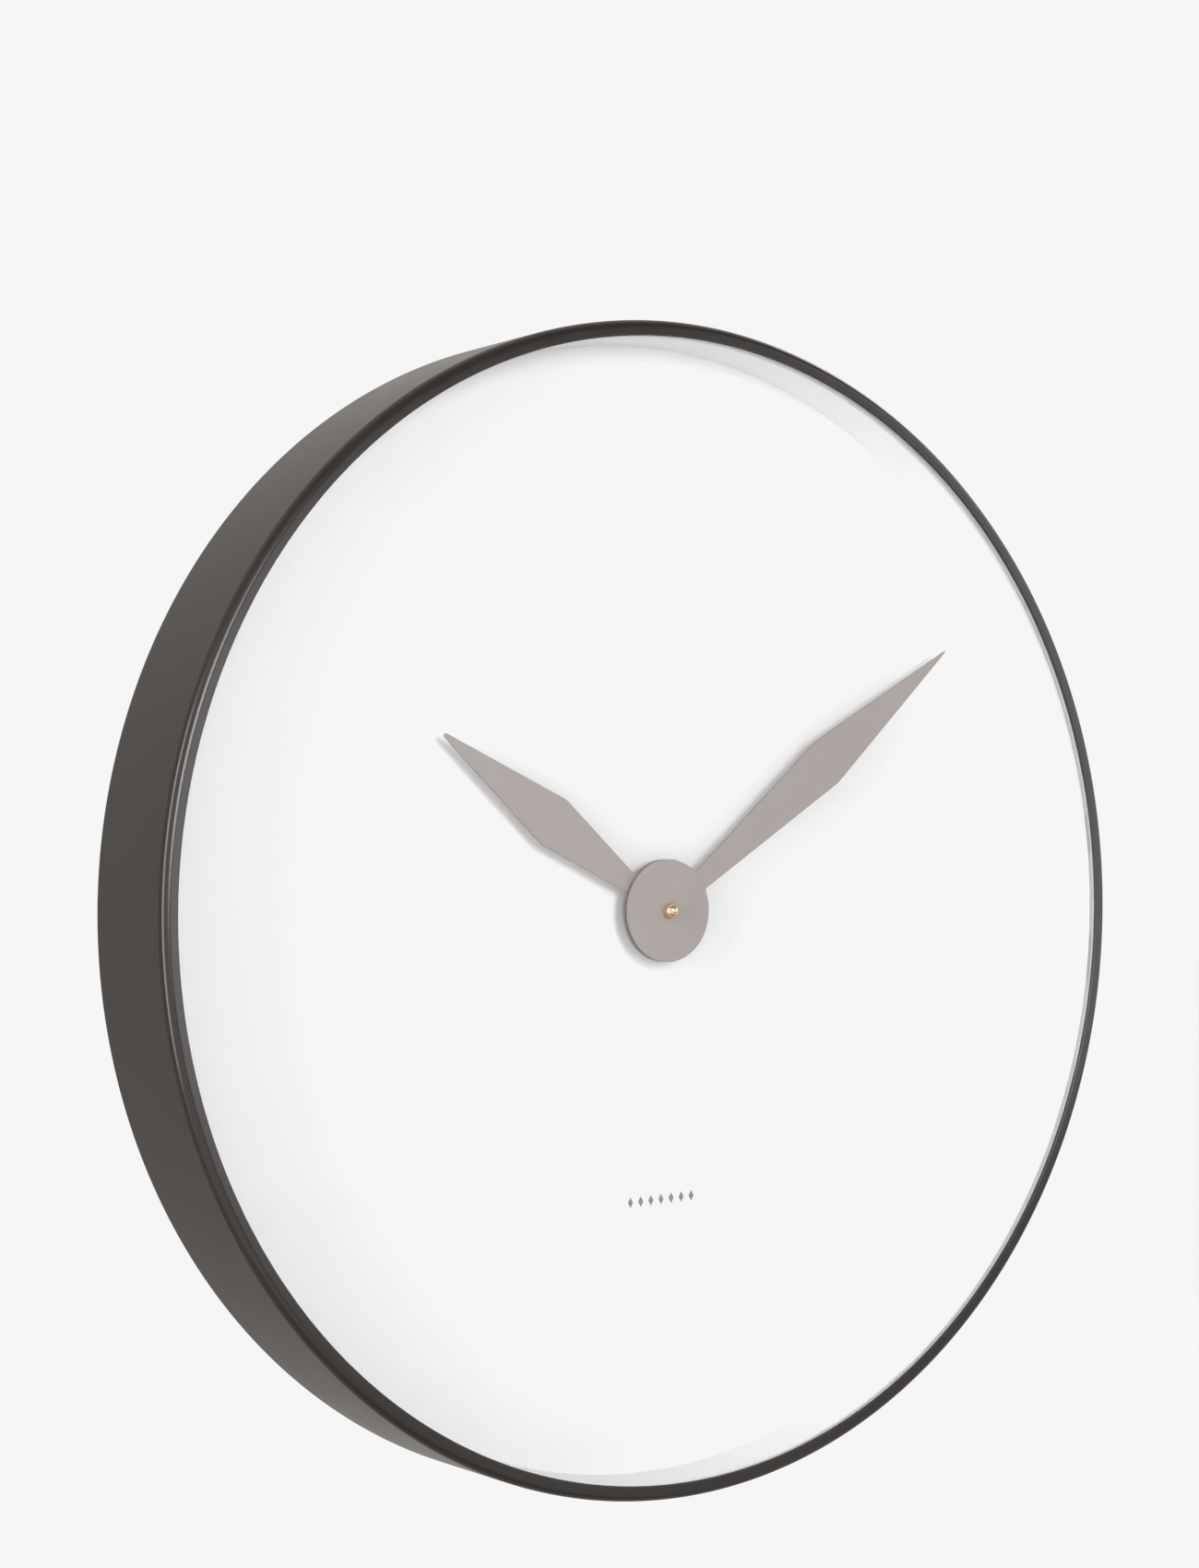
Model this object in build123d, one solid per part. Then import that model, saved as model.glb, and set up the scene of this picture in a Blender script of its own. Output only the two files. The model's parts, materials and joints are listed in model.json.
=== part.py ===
from build123d import *
from math import cos, radians, sin
import os

# A round quartz wall clock. Millimetres. The wall is the plane Y = 0, the clock faces -Y,
# +Z is up, and the origin is where the dial axis meets the wall. A "depth" below is a
# distance in front of the wall, and an outline is drawn in (X, Z) as seen from the front.

# ---- Case, lens and dial -------------------------------------------------------------
CASE_R = 200.0
CASE_DEPTH = 44.0
CASE_SHEET = 1.2
SHOULDER_R = 3.0
LIP_INNER_R = 194.5
LIP_EDGE_R = 0.45
TAB_COUNT = 6
TAB_WIDTH = 10.0
TAB_INNER_R = 190.0
TAB_DEPTH = 1.0

LENS_THICKNESS = 2.0
LENS_FACE_DEPTH = 42.0
LENS_BACK_DEPTH = LENS_FACE_DEPTH - LENS_THICKNESS
LENS_R = 197.2
GASKET_WALL = 0.6
GASKET_INNER_R = 195.2
GASKET_OUTER_R = 198.3
GASKET_GAP = 0.1

DIAL_FACE_DEPTH = 22.6
DIAL_THICKNESS = 2.0
DIAL_BACK_DEPTH = DIAL_FACE_DEPTH - DIAL_THICKNESS
DIAL_R = 197.6
RING_FRONT_INNER_R = 194.8
RING_BACK_INNER_R = 194.3
RING_WALL = 1.7
RING_FLANGE_R = 197.4
RING_FLANGE = 1.4

MARK_COUNT = 7
MARK_PITCH = 4.4
MARK_WIDTH = 2.2
MARK_HEIGHT = 3.8
MARK_BELOW_AXIS = 100.4
MARK_INK = 0.05

# ---- Back of the clock ---------------------------------------------------------------
BOARD_BACK_DEPTH = TAB_DEPTH + CASE_SHEET
BOARD_THICKNESS = 2.5
BOARD_FRONT_DEPTH = BOARD_BACK_DEPTH + BOARD_THICKNESS
BOARD_R = 198.4
WINDOW_SIDE = 62.0
WINDOW_CORNER_R = 4.0
SPACER_OUTER_R = 198.4
SPACER_WALL = 1.8
BOSS_COUNT = 6
BOSS_CIRCLE_R = 191.0
BOSS_R = 4.0
BOSS_FIRST_ANGLE = 30.0
SCREW_R = 1.5
SCREW_HEAD_R = 3.0
SCREW_HEAD = 1.6
SCREW_HEAD_ROUND = 0.8
SCREW_REACH = 14.0
SCREW_CLEARANCE = 0.2
PILOT_CLEARANCE = 0.05
PILOT_EXTRA = 1.0
DRIVER_HALF_LENGTH = 1.7
DRIVER_HALF_WIDTH = 0.35
DRIVER_DEPTH = 0.9

HANGER_HEIGHT = 150.0
HANGER_WIDTH = 54.0
HANGER_TALL = 34.0
HANGER_CORNER_R = 5.0
HANGER_SHEET = 1.2
KEYHOLE_R = 4.5
KEYHOLE_SLOT = 5.0
KEYHOLE_TRAVEL = 6.0
KEYHOLE_ENTRY = 144.0
KEYHOLE_SEAT = KEYHOLE_ENTRY + KEYHOLE_TRAVEL
KEYHOLE_ROOM_R = 6.5
RIVET_SPREAD = 19.0
RIVET_R = 1.45
RIVET_HEAD_R = 2.6
RIVET_HEAD = 0.8
RIVET_BEVEL = 0.5

# ---- Quartz movement -----------------------------------------------------------------
MOVEMENT_SIDE = 56.0
MOVEMENT_CORNER_R = 2.0
MOVEMENT_BACK = 4.1
HOUSING_SPLIT = 18.6
MOVEMENT_FRONT = 20.1
HOUSING_WALL = 1.5
HOUSING_FLOOR = 1.2
ROOM_BACK = MOVEMENT_BACK + HOUSING_FLOOR
PARTITION_TOP = -10.8
BAY_TOP = -11.6
BAY_BOTTOM = -26.6
INNER_HALF = MOVEMENT_SIDE / 2 - HOUSING_WALL
INSERT_GAP = 0.2
BRIDGE_LEFT = -11.0
BRIDGE_BOTTOM = 12.2
BRIDGE_POSTS = ((-9.0, 24.4), (24.2, 24.4))
BRIDGE_POST_R = 1.5

BUSH_R = 4.0
BUSH_FRONT = 25.5
WASHER_HOLE_R = 4.15
RUBBER_R = 9.0
BRASS_WASHER = 0.5
BRASS_WASHER_R = 8.0
NUT_FLATS = 11.0
NUT_THICKNESS = 2.0

KNOB_BACK = 1.4
KNOB_FRONT = 3.9
KNOB_R = 6.0
KNOB_BORE_BACK = 2.4
KNOB_RIDGES = 24
KNOB_GROOVE_R = 0.35

# ---- Hands ---------------------------------------------------------------------------
HAND_SHEET = 0.6
HAND_EDGE = 0.12
HUB_DISC_R = 17.7
HOUR_FACE_DEPTH = 28.8
MINUTE_FACE_DEPTH = 30.8
MINUTE_ROOT_HALF = 2.31
MINUTE_WIDE_HALF = 9.05
MINUTE_WIDE_AT = 88.8
MINUTE_APEX = 162.0
MINUTE_TIP_R = 0.3
HOUR_ROOT_HALF = 0.86
HOUR_WIDE_HALF = 9.1
HOUR_WIDE_AT = 55.3
HOUR_APEX = 111.2
HOUR_TIP_R = 0.75
MINUTES_SHOWN = 9.25
HOURS_SHOWN = 10
MINUTE_ANGLE = 6.0 * MINUTES_SHOWN
HOUR_ANGLE = 30.0 * (HOURS_SHOWN + MINUTES_SHOWN / 60)
HOUR_COLLET_R = 4.2
HOUR_COLLET_BACK = 26.0
MINUTE_COLLET_R = 3.2
MINUTE_COLLET_BACK = 29.2
BALL_R = 2.65
BALL_CENTRE_DEPTH = 32.4
BALL_BORE_DEPTH = 33.0

# ---- Shafts: outer radius, then the bore that runs on it -----------------------------
MINUTE_SHAFT_R = 1.6
HOUR_TUBE_BORE_R = 1.68
HOUR_TUBE_R = 2.5
BUSH_BORE_R = 2.58
THREAD_R = 1.2
ARBOR_R = 0.45
PIVOT_R = 0.3
PIVOT_HOLE_R = 0.35
PIVOT_LENGTH = 0.7
PIVOT_HOLE_DEPTH = 0.8
END_FLOAT = 0.1
REAR_SHAFT_R = 0.75
CENTRE_BORE_R = 0.8
SETTING_SHAFT_R = 1.0
SETTING_HOLE_R = 1.08
FIT_GAP = 0.02

# ---- Gear train: teeth, modules and the depths where each wheel lies ------------------
ADDENDUM = 0.75
DEDENDUM = 1.0
TOOTH_SHARE_TIP = 0.16
TOOTH_SHARE_ROOT = 0.44
CENTRE_TEETH = 64
THIRD_TEETH = 60
SECONDS_TEETH = 60
INTERMEDIATE_TEETH = 60
THIRD_PINION = 8
SECONDS_PINION = 8
INTERMEDIATE_PINION = 10
ROTOR_PINION = 12
CANNON_PINION = 12
SETTING_TEETH = 36
SETTING_PINION = 10
HOUR_TEETH = 40
CENTRE_MODULE = 0.25
THIRD_MODULE = 0.25
SECONDS_MODULE = 0.22
INTERMEDIATE_MODULE = 0.2
SETTING_DISTANCE = 10.0
CANNON_MODULE = 2 * SETTING_DISTANCE / (CANNON_PINION + SETTING_TEETH)
HOUR_MODULE = 2 * SETTING_DISTANCE / (SETTING_PINION + HOUR_TEETH)

HOUR_WHEEL = (17.3, 18.2)
CANNON_LAYER = (15.9, 16.9)
CENTRE_WHEEL = (14.5, 15.3)
THIRD_WHEEL = (12.8, 13.6)
THIRD_PINION_FRONT = 15.4
SECONDS_WHEEL = (11.1, 11.9)
SECONDS_PINION_FRONT = 13.8
INTERMEDIATE_WHEEL = (9.4, 10.2)
INTERMEDIATE_PINION_FRONT = 12.1
ROTOR_PINION_LAYER = (9.25, 10.35)
MAGNET_LAYER = (7.3, 8.9)
MAGNET_R = 2.2
BRIDGE_BACK = 13.9
BRIDGE_FRONT = 14.9
SHOULDER_DEPTH = 15.5
CLUTCH_R = 2.0
CLUTCH_GAP = 0.05

UP = 90.0
DOWN = 270.0
THIRD_BEARING = 20.0
SECONDS_BEARING = 60.0
INTERMEDIATE_BEARING = 150.0
ROTOR_BEARING = 150.0

# ---- Step motor: a flat iron circuit and an upright coil -----------------------------
STATOR_BACK = 7.7
STATOR_FRONT = 8.6
STATOR_HOLE_R = 2.6
STATOR_NECK = 0.6
STATOR_GAP_HALF = 0.4
STATOR_HEAD_HALF = 4.6
STATOR_HEAD_LOW = 13.0
STATOR_TOP = 22.4
STATOR_LEFT = -23.0
UPPER_ARM_LOW = 17.6
LOWER_ARM_HIGH = 16.4
LIMB_LEFT = -14.0
LIMB_RIGHT = -11.4
FOOT_LOW = -9.0
FOOT_HIGH = -5.5
CORE_FRONT = 9.5
CORE_HALF = 1.3
COIL_X = -19.3
COIL_LOW = -5.2
COIL_HIGH = 17.3
BOBBIN_R = 1.9
BOBBIN_FLANGE_R = 3.1
BOBBIN_FLANGE = 0.8
WINDING_R = 2.75

# ---- Circuit board -------------------------------------------------------------------
PCB_LEFT = 16.8
PCB_RIGHT = 25.5
PCB_BOTTOM = -10.0
PCB_TOP = 8.0
PCB_BACK = 15.7
PCB_FRONT = 16.5
PCB_POSTS = ((21.0, -8.0), (24.0, 6.0))
PCB_POST_R = 1.0
CHIP_AT = (21.0, -2.0)
CHIP_SIDE = 4.0
CHIP_THICKNESS = 1.2
CRYSTAL_AT = (21.0, 4.6)
CRYSTAL_R = 1.0
CRYSTAL_LENGTH = 6.0

# ---- Battery and contacts ------------------------------------------------------------
CELL_R = 7.2
CELL_LEFT = -25.1
CELL_RIGHT = 24.0
CELL_GAP = 0.2
CELL_HEIGHT = (BAY_TOP + BAY_BOTTOM) / 2
CELL_DEPTH = HOUSING_SPLIT - CELL_GAP - CELL_R
CELL_EDGE_R = 0.6
NUB_R = 2.75
NUB_LENGTH = 1.1
BUMP_R = 2.2
BUMP = 0.6
CONTACT_SHEET = 0.3
CONTACT_OUT = INNER_HALF - INSERT_GAP
CONTACT_IN = CONTACT_OUT - CONTACT_SHEET
CONTACT_LOW = -25.0
CONTACT_HIGH = -12.4
CONTACT_BACK = 5.5
CONTACT_FRONT = PCB_FRONT + CONTACT_SHEET
TAIL_BACK = 15.5
TAIL_CLEARANCE = 0.5
TAIL_NOTCH = 1.0
POSITIVE_TAIL_HIGH = -4.0
POSITIVE_FINGER_LOW = -6.0
POSITIVE_FINGER_LEFT = 23.8
NEGATIVE_TAIL_HIGH = -9.2
NEGATIVE_FINGER_LOW = -10.5
NEGATIVE_FINGER_RIGHT = PCB_LEFT + 1.2


def polar(start, distance, angle):
    """The point at a distance and an angle, in degrees from +X towards +Z, from start."""
    return (start[0] + distance * cos(radians(angle)), start[1] + distance * sin(radians(angle)))


def centre_distance(wheel_teeth, pinion_teeth, module):
    """How far apart two meshed gears stand."""
    return (wheel_teeth + pinion_teeth) * module / 2


MAIN = (0.0, 0.0)
SETTING = (0.0, SETTING_DISTANCE)
THIRD = polar(MAIN, centre_distance(CENTRE_TEETH, THIRD_PINION, CENTRE_MODULE), THIRD_BEARING)
SECONDS = polar(THIRD, centre_distance(THIRD_TEETH, SECONDS_PINION, THIRD_MODULE), SECONDS_BEARING)
INTERMEDIATE = polar(
    SECONDS,
    centre_distance(SECONDS_TEETH, INTERMEDIATE_PINION, SECONDS_MODULE),
    INTERMEDIATE_BEARING,
)
ROTOR = polar(
    INTERMEDIATE,
    centre_distance(INTERMEDIATE_TEETH, ROTOR_PINION, INTERMEDIATE_MODULE),
    ROTOR_BEARING,
)


# ---- Building blocks -----------------------------------------------------------------
def slab(outline, back, front):
    """A flat outline given thickness, from depth back to depth front."""
    return extrude(Plane.XZ.offset(back) * outline, amount=front - back)


def disc(radius, back, front, at=MAIN):
    """A round rod or disc about a line parallel to the dial axis."""
    return Pos(at[0], 0, at[1]) * slab(Circle(radius), back, front)


def ring(outer_r, inner_r, back, front, at=MAIN):
    """A flat washer or tube about a line parallel to the dial axis."""
    return disc(outer_r, back, front, at) - disc(inner_r, back, front, at)


def block(left, right, bottom, top, back, front):
    """A box between two X, two Z and two depth values."""
    middle = Pos((left + right) / 2, (bottom + top) / 2)
    return slab(middle * Rectangle(right - left, top - bottom), back, front)


def turned_face(points):
    """The half section of a turned piece, from its (radius, depth) corners."""
    return make_face(Polyline(*[(r, -depth) for r, depth in points], close=True))


def turned(points):
    """A piece turned about the dial axis, from its (radius, depth) corners."""
    return revolve(turned_face(points), axis=Axis.Y)


def round_corner(face, corner, radius):
    """Round the corner of a half section that lies nearest to (radius, depth)."""
    target = Vector(corner[0], -corner[1], 0)
    nearest = min(face.vertices(), key=lambda v: (Vector(v.X, v.Y, v.Z) - target).length)
    return fillet(nearest, radius)


def around(shape, count, first_angle):
    """Copies of a shape set evenly about the dial axis."""
    return [Rot(0, first_angle + 360 * k / count, 0) * shape for k in range(count)]


def gear(teeth, module, first_tooth):
    """A gear outline with slim straight-sided teeth, one of them at the angle first_tooth."""
    pitch_r = teeth * module / 2
    pitch_angle = 360 / teeth
    root = (pitch_r - DEDENDUM * module, TOOTH_SHARE_ROOT * pitch_angle / 2)
    tip = (pitch_r + ADDENDUM * module, TOOTH_SHARE_TIP * pitch_angle / 2)
    points = []
    for tooth in range(teeth):
        middle = first_tooth + tooth * pitch_angle
        points.append(polar(MAIN, root[0], middle - root[1]))
        points.append(polar(MAIN, tip[0], middle - tip[1]))
        points.append(polar(MAIN, tip[0], middle + tip[1]))
        points.append(polar(MAIN, root[0], middle + root[1]))
    return Polygon(*points, align=None)


def facing(bearing, teeth):
    """The first tooth angle that puts a gap opposite a tooth which points along bearing."""
    return bearing + 180 + 180 / teeth


def toothed(teeth, module, first_tooth, layer, at):
    """One gear of the train, in its own layer and on its own axis."""
    return Pos(at[0], 0, at[1]) * slab(gear(teeth, module, first_tooth), layer[0], layer[1])


def arbor(at, back, front):
    """A thin axle between two plates, with a finer pivot at each end."""
    body = disc(ARBOR_R, back + END_FLOAT, front - END_FLOAT, at)
    pivots = disc(PIVOT_R, back - PIVOT_LENGTH, front + PIVOT_LENGTH, at)
    return body + pivots


def pivot_holes(places, mouth, direction):
    """Blind holes for pivots: mouth is the plate's face, direction +1 drills to the front."""
    bottom = mouth + direction * PIVOT_HOLE_DEPTH
    low, high = min(mouth, bottom), max(mouth, bottom)
    return [disc(PIVOT_HOLE_R, low, high, at) for at in places]


# ---- Case, lens and dial -------------------------------------------------------------
def case_shell():
    """Spun drum with a rolled front lip, and tabs folded in over the rear board."""
    inner_r = CASE_R - CASE_SHEET
    lip_back = CASE_DEPTH - CASE_SHEET
    corners = [
        (inner_r, 0),
        (CASE_R, 0),
        (CASE_R, CASE_DEPTH),
        (LIP_INNER_R, CASE_DEPTH),
        (LIP_INNER_R, lip_back),
        (inner_r, lip_back),
    ]
    section = turned_face(corners)
    section = round_corner(section, (CASE_R, CASE_DEPTH), SHOULDER_R)
    section = round_corner(section, (inner_r, lip_back), SHOULDER_R - CASE_SHEET)
    section = round_corner(section, (LIP_INNER_R, CASE_DEPTH), LIP_EDGE_R)
    shell = revolve(section, axis=Axis.Y)
    tab = block(
        -TAB_WIDTH / 2, TAB_WIDTH / 2, TAB_INNER_R, inner_r + CASE_SHEET / 2,
        TAB_DEPTH, TAB_DEPTH + CASE_SHEET,
    )
    for folded in around(tab, TAB_COUNT, 0):
        shell = shell + folded
    return shell


def lens():
    """Flat clear glass behind the lip."""
    return disc(LENS_R, LENS_BACK_DEPTH, LENS_FACE_DEPTH)


def lens_gasket():
    """Soft channel round the edge of the glass, chamfered to clear the rolled lip."""
    lip_back = CASE_DEPTH - CASE_SHEET
    groove_r = LENS_R + GASKET_GAP
    chamfer_in = CASE_R - SHOULDER_R - GASKET_GAP
    drop = GASKET_OUTER_R - chamfer_in
    return turned([
        (GASKET_INNER_R, lip_back),
        (chamfer_in, lip_back),
        (GASKET_OUTER_R, lip_back - drop),
        (GASKET_OUTER_R, LENS_BACK_DEPTH - GASKET_WALL),
        (GASKET_INNER_R, LENS_BACK_DEPTH - GASKET_WALL),
        (GASKET_INNER_R, LENS_BACK_DEPTH),
        (groove_r, LENS_BACK_DEPTH),
        (groove_r, LENS_FACE_DEPTH),
        (GASKET_INNER_R, LENS_FACE_DEPTH),
    ])


def inner_ring():
    """White wall between glass and dial, slightly tapered, with a flange at each end."""
    front = LENS_BACK_DEPTH - GASKET_WALL
    back = DIAL_FACE_DEPTH
    outer_r = RING_FRONT_INNER_R + RING_WALL
    return turned([
        (RING_BACK_INNER_R, back),
        (RING_FLANGE_R, back),
        (RING_FLANGE_R, back + RING_FLANGE),
        (outer_r, back + RING_FLANGE),
        (outer_r, front - RING_FLANGE),
        (RING_FLANGE_R, front - RING_FLANGE),
        (RING_FLANGE_R, front),
        (RING_FRONT_INNER_R, front),
    ])


def dial_plate():
    """Plain dial with a central hole for the bush."""
    return ring(DIAL_R, WASHER_HOLE_R, DIAL_BACK_DEPTH, DIAL_FACE_DEPTH)


def dial_mark():
    """A row of small printed lozenges, low on the dial."""
    half_w = MARK_WIDTH / 2
    half_h = MARK_HEIGHT / 2
    lozenge = Polygon((half_w, 0), (0, half_h), (-half_w, 0), (0, -half_h), align=None)
    print_layer = slab(lozenge, DIAL_FACE_DEPTH, DIAL_FACE_DEPTH + MARK_INK)
    first = -MARK_PITCH * (MARK_COUNT - 1) / 2
    row = [Pos(first + MARK_PITCH * k, 0, -MARK_BELOW_AXIS) * print_layer for k in range(MARK_COUNT)]
    return Compound(children=row)


# ---- Back of the clock ---------------------------------------------------------------
def spacer_ring():
    """Ring that holds the dial forward, with a drilled boss for each rear screw."""
    back = BOARD_FRONT_DEPTH
    wall = ring(SPACER_OUTER_R, SPACER_OUTER_R - SPACER_WALL, back, DIAL_BACK_DEPTH)
    boss = disc(BOSS_R, back, DIAL_BACK_DEPTH, (0, BOSS_CIRCLE_R))
    rib_top = SPACER_OUTER_R - SPACER_WALL / 2
    rib = block(-BOSS_R / 2, BOSS_R / 2, BOSS_CIRCLE_R, rib_top, back, DIAL_BACK_DEPTH)
    pilot = disc(SCREW_R + PILOT_CLEARANCE, back, SCREW_REACH + PILOT_EXTRA, (0, BOSS_CIRCLE_R))
    for piece in around(boss + rib, BOSS_COUNT, BOSS_FIRST_ANGLE):
        wall = wall + piece
    for hole in around(pilot, BOSS_COUNT, BOSS_FIRST_ANGLE):
        wall = wall - hole
    return wall


def obround(low, high, radius):
    """An upright slot outline with round ends at the heights low and high."""
    straight = Pos(0, (low + high) / 2) * Rectangle(2 * radius, high - low)
    return straight + Pos(0, low) * Circle(radius) + Pos(0, high) * Circle(radius)


def rivet_holes():
    """The outlines of the two rivet holes, left and right of the keyhole."""
    hole = Circle(RIVET_R + PILOT_CLEARANCE)
    return [Pos(side * RIVET_SPREAD, HANGER_HEIGHT) * hole for side in (-1, 1)]


def rear_board():
    """Back panel with a window for the movement and room behind the keyhole."""
    window = RectangleRounded(WINDOW_SIDE, WINDOW_SIDE, WINDOW_CORNER_R)
    outline = Circle(BOARD_R) - window - obround(KEYHOLE_ENTRY, KEYHOLE_SEAT, KEYHOLE_ROOM_R)
    for hole in rivet_holes():
        outline = outline - hole
    board = slab(outline, BOARD_BACK_DEPTH, BOARD_FRONT_DEPTH)
    hole = disc(SCREW_R + SCREW_CLEARANCE, BOARD_BACK_DEPTH, BOARD_FRONT_DEPTH, (0, BOSS_CIRCLE_R))
    for copy in around(hole, BOSS_COUNT, BOSS_FIRST_ANGLE):
        board = board - copy
    return board


def rear_board_screws():
    """Pan-head screws that hold the board to the spacer ring."""
    back = BOARD_BACK_DEPTH - SCREW_HEAD
    head = disc(SCREW_HEAD_R, back, BOARD_BACK_DEPTH)
    back_edges = head.edges().filter_by(GeomType.CIRCLE).sort_by(Axis.Y)[-1:]
    head = fillet(back_edges, SCREW_HEAD_ROUND)
    slot = block(
        -DRIVER_HALF_LENGTH, DRIVER_HALF_LENGTH, -DRIVER_HALF_WIDTH, DRIVER_HALF_WIDTH,
        back, back + DRIVER_DEPTH,
    )
    for turn in (0, 90):
        head = head - Rot(0, turn, 0) * slot
    screw = Pos(0, 0, BOSS_CIRCLE_R) * (head + disc(SCREW_R, BOARD_BACK_DEPTH, SCREW_REACH))
    return Compound(children=around(screw, BOSS_COUNT, BOSS_FIRST_ANGLE))


def hanger_plate():
    """Steel plate with a keyhole that drops over a wall screw."""
    outline = Pos(0, HANGER_HEIGHT) * RectangleRounded(HANGER_WIDTH, HANGER_TALL, HANGER_CORNER_R)
    outline = outline - Pos(0, KEYHOLE_ENTRY) * Circle(KEYHOLE_R)
    outline = outline - obround(KEYHOLE_ENTRY, KEYHOLE_SEAT, KEYHOLE_SLOT / 2)
    for hole in rivet_holes():
        outline = outline - hole
    return slab(outline, BOARD_BACK_DEPTH - HANGER_SHEET, BOARD_BACK_DEPTH)


def hanger_rivets():
    """Two rivets through plate and board."""
    back = BOARD_BACK_DEPTH - HANGER_SHEET
    front = BOARD_FRONT_DEPTH
    rivet = turned([
        (0, back - RIVET_HEAD),
        (RIVET_HEAD_R - RIVET_BEVEL, back - RIVET_HEAD),
        (RIVET_HEAD_R, back),
        (RIVET_R, back),
        (RIVET_R, front),
        (RIVET_HEAD_R, front),
        (RIVET_HEAD_R, front + RIVET_HEAD),
        (0, front + RIVET_HEAD),
    ])
    pair = [Pos(side * RIVET_SPREAD, 0, HANGER_HEIGHT) * rivet for side in (-1, 1)]
    return Compound(children=pair)


# ---- Movement housing and dial fixings -----------------------------------------------

def movement_outline():
    return RectangleRounded(MOVEMENT_SIDE, MOVEMENT_SIDE, MOVEMENT_CORNER_R)


def movement_front_plate():
    """Front half of the movement housing, with the bush hole and the front pivots."""
    plate = slab(movement_outline(), HOUSING_SPLIT, MOVEMENT_FRONT)
    plate = plate - disc(BUSH_R, HOUSING_SPLIT, MOVEMENT_FRONT)
    for hole in pivot_holes((THIRD, SECONDS, SETTING), HOUSING_SPLIT, 1):
        plate = plate - hole
    for at in PCB_POSTS:
        plate = plate + disc(PCB_POST_R, PCB_FRONT, HOUSING_SPLIT, at)
    return plate


def movement_rear_housing():
    """Rear half of the movement housing: gear room, and a battery bay open at the back."""
    body = slab(movement_outline(), MOVEMENT_BACK, HOUSING_SPLIT)
    body = body - block(-INNER_HALF, INNER_HALF, PARTITION_TOP, INNER_HALF, ROOM_BACK, HOUSING_SPLIT)
    body = body - block(-INNER_HALF, INNER_HALF, BAY_BOTTOM, BAY_TOP, MOVEMENT_BACK, HOUSING_SPLIT)
    for left, right in ((-INNER_HALF, -INNER_HALF + TAIL_NOTCH), (INNER_HALF - TAIL_NOTCH, INNER_HALF)):
        body = body - block(left, right, BAY_TOP, PARTITION_TOP, TAIL_BACK - TAIL_CLEARANCE, HOUSING_SPLIT)
    body = body - disc(SETTING_HOLE_R, MOVEMENT_BACK, ROOM_BACK, SETTING)
    for hole in pivot_holes((MAIN, THIRD, SECONDS, INTERMEDIATE, ROTOR), ROOM_BACK, -1):
        body = body - hole
    for at in BRIDGE_POSTS:
        body = body + disc(BRIDGE_POST_R, ROOM_BACK, BRIDGE_BACK, at)
    return body


def bridge_plate():
    """Small inner plate that carries the front pivots of the rotor and its first wheel."""
    right = INNER_HALF - INSERT_GAP
    plate = block(BRIDGE_LEFT, right, BRIDGE_BOTTOM, right, BRIDGE_BACK, BRIDGE_FRONT)
    for hole in pivot_holes((INTERMEDIATE, ROTOR), BRIDGE_BACK, 1):
        plate = plate - hole
    return plate


def threaded_bush():
    """Brass bush that clamps the movement to the dial and guides the hour tube."""
    return ring(BUSH_R, BUSH_BORE_R, HOUSING_SPLIT, BUSH_FRONT)


def rubber_washer():
    return ring(RUBBER_R, WASHER_HOLE_R, MOVEMENT_FRONT, DIAL_BACK_DEPTH)


def brass_washer():
    return ring(BRASS_WASHER_R, WASHER_HOLE_R, DIAL_FACE_DEPTH, DIAL_FACE_DEPTH + BRASS_WASHER)


def hex_nut():
    back = DIAL_FACE_DEPTH + BRASS_WASHER
    corner_r = NUT_FLATS / 2 / cos(radians(30))
    outline = RegularPolygon(corner_r, 6) - Circle(BUSH_R + PILOT_CLEARANCE)
    return slab(outline, back, back + NUT_THICKNESS)


# ---- Hands ---------------------------------------------------------------------------
def hand(root_half, wide_half, wide_at, apex, tip_r, face_depth, hole_r, angle):
    """A sheet hand: a long kite on a large round disc, turned clockwise from 12."""
    kite = Polygon(
        (-root_half, 0), (root_half, 0), (wide_half, wide_at), (0, apex), (-wide_half, wide_at),
        align=None,
    )
    kite = fillet(kite.vertices().sort_by(Axis.Y)[-1], tip_r)
    outline = kite + Circle(HUB_DISC_R) - Circle(hole_r)
    blade = slab(outline, face_depth - HAND_SHEET, face_depth)
    front_face = blade.faces().sort_by(Axis.Y)[0]
    blade = chamfer(front_face.outer_wire().edges(), HAND_EDGE)
    return Rot(0, angle, 0) * blade


def hour_hand():
    return hand(
        HOUR_ROOT_HALF, HOUR_WIDE_HALF, HOUR_WIDE_AT, HOUR_APEX, HOUR_TIP_R,
        HOUR_FACE_DEPTH, HOUR_TUBE_R + FIT_GAP, HOUR_ANGLE,
    )


def minute_hand():
    return hand(
        MINUTE_ROOT_HALF, MINUTE_WIDE_HALF, MINUTE_WIDE_AT, MINUTE_APEX, MINUTE_TIP_R,
        MINUTE_FACE_DEPTH, MINUTE_SHAFT_R + FIT_GAP, MINUTE_ANGLE,
    )


def hour_hand_collet():
    return ring(HOUR_COLLET_R, HOUR_TUBE_R + FIT_GAP, HOUR_COLLET_BACK, HOUR_FACE_DEPTH - HAND_SHEET)


def minute_hand_collet():
    front = MINUTE_FACE_DEPTH - HAND_SHEET
    return ring(MINUTE_COLLET_R, MINUTE_SHAFT_R + FIT_GAP, MINUTE_COLLET_BACK, front)


def cap_nut():
    """Polished ball that screws on to the minute shaft, flat where it meets the hand."""
    ball = Pos(0, -BALL_CENTRE_DEPTH, 0) * Sphere(BALL_R)
    behind = disc(2 * BALL_R, MINUTE_FACE_DEPTH - 2 * BALL_R, MINUTE_FACE_DEPTH)
    bore = disc(THREAD_R + FIT_GAP, MINUTE_FACE_DEPTH, BALL_BORE_DEPTH)
    return ball - behind - bore


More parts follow.
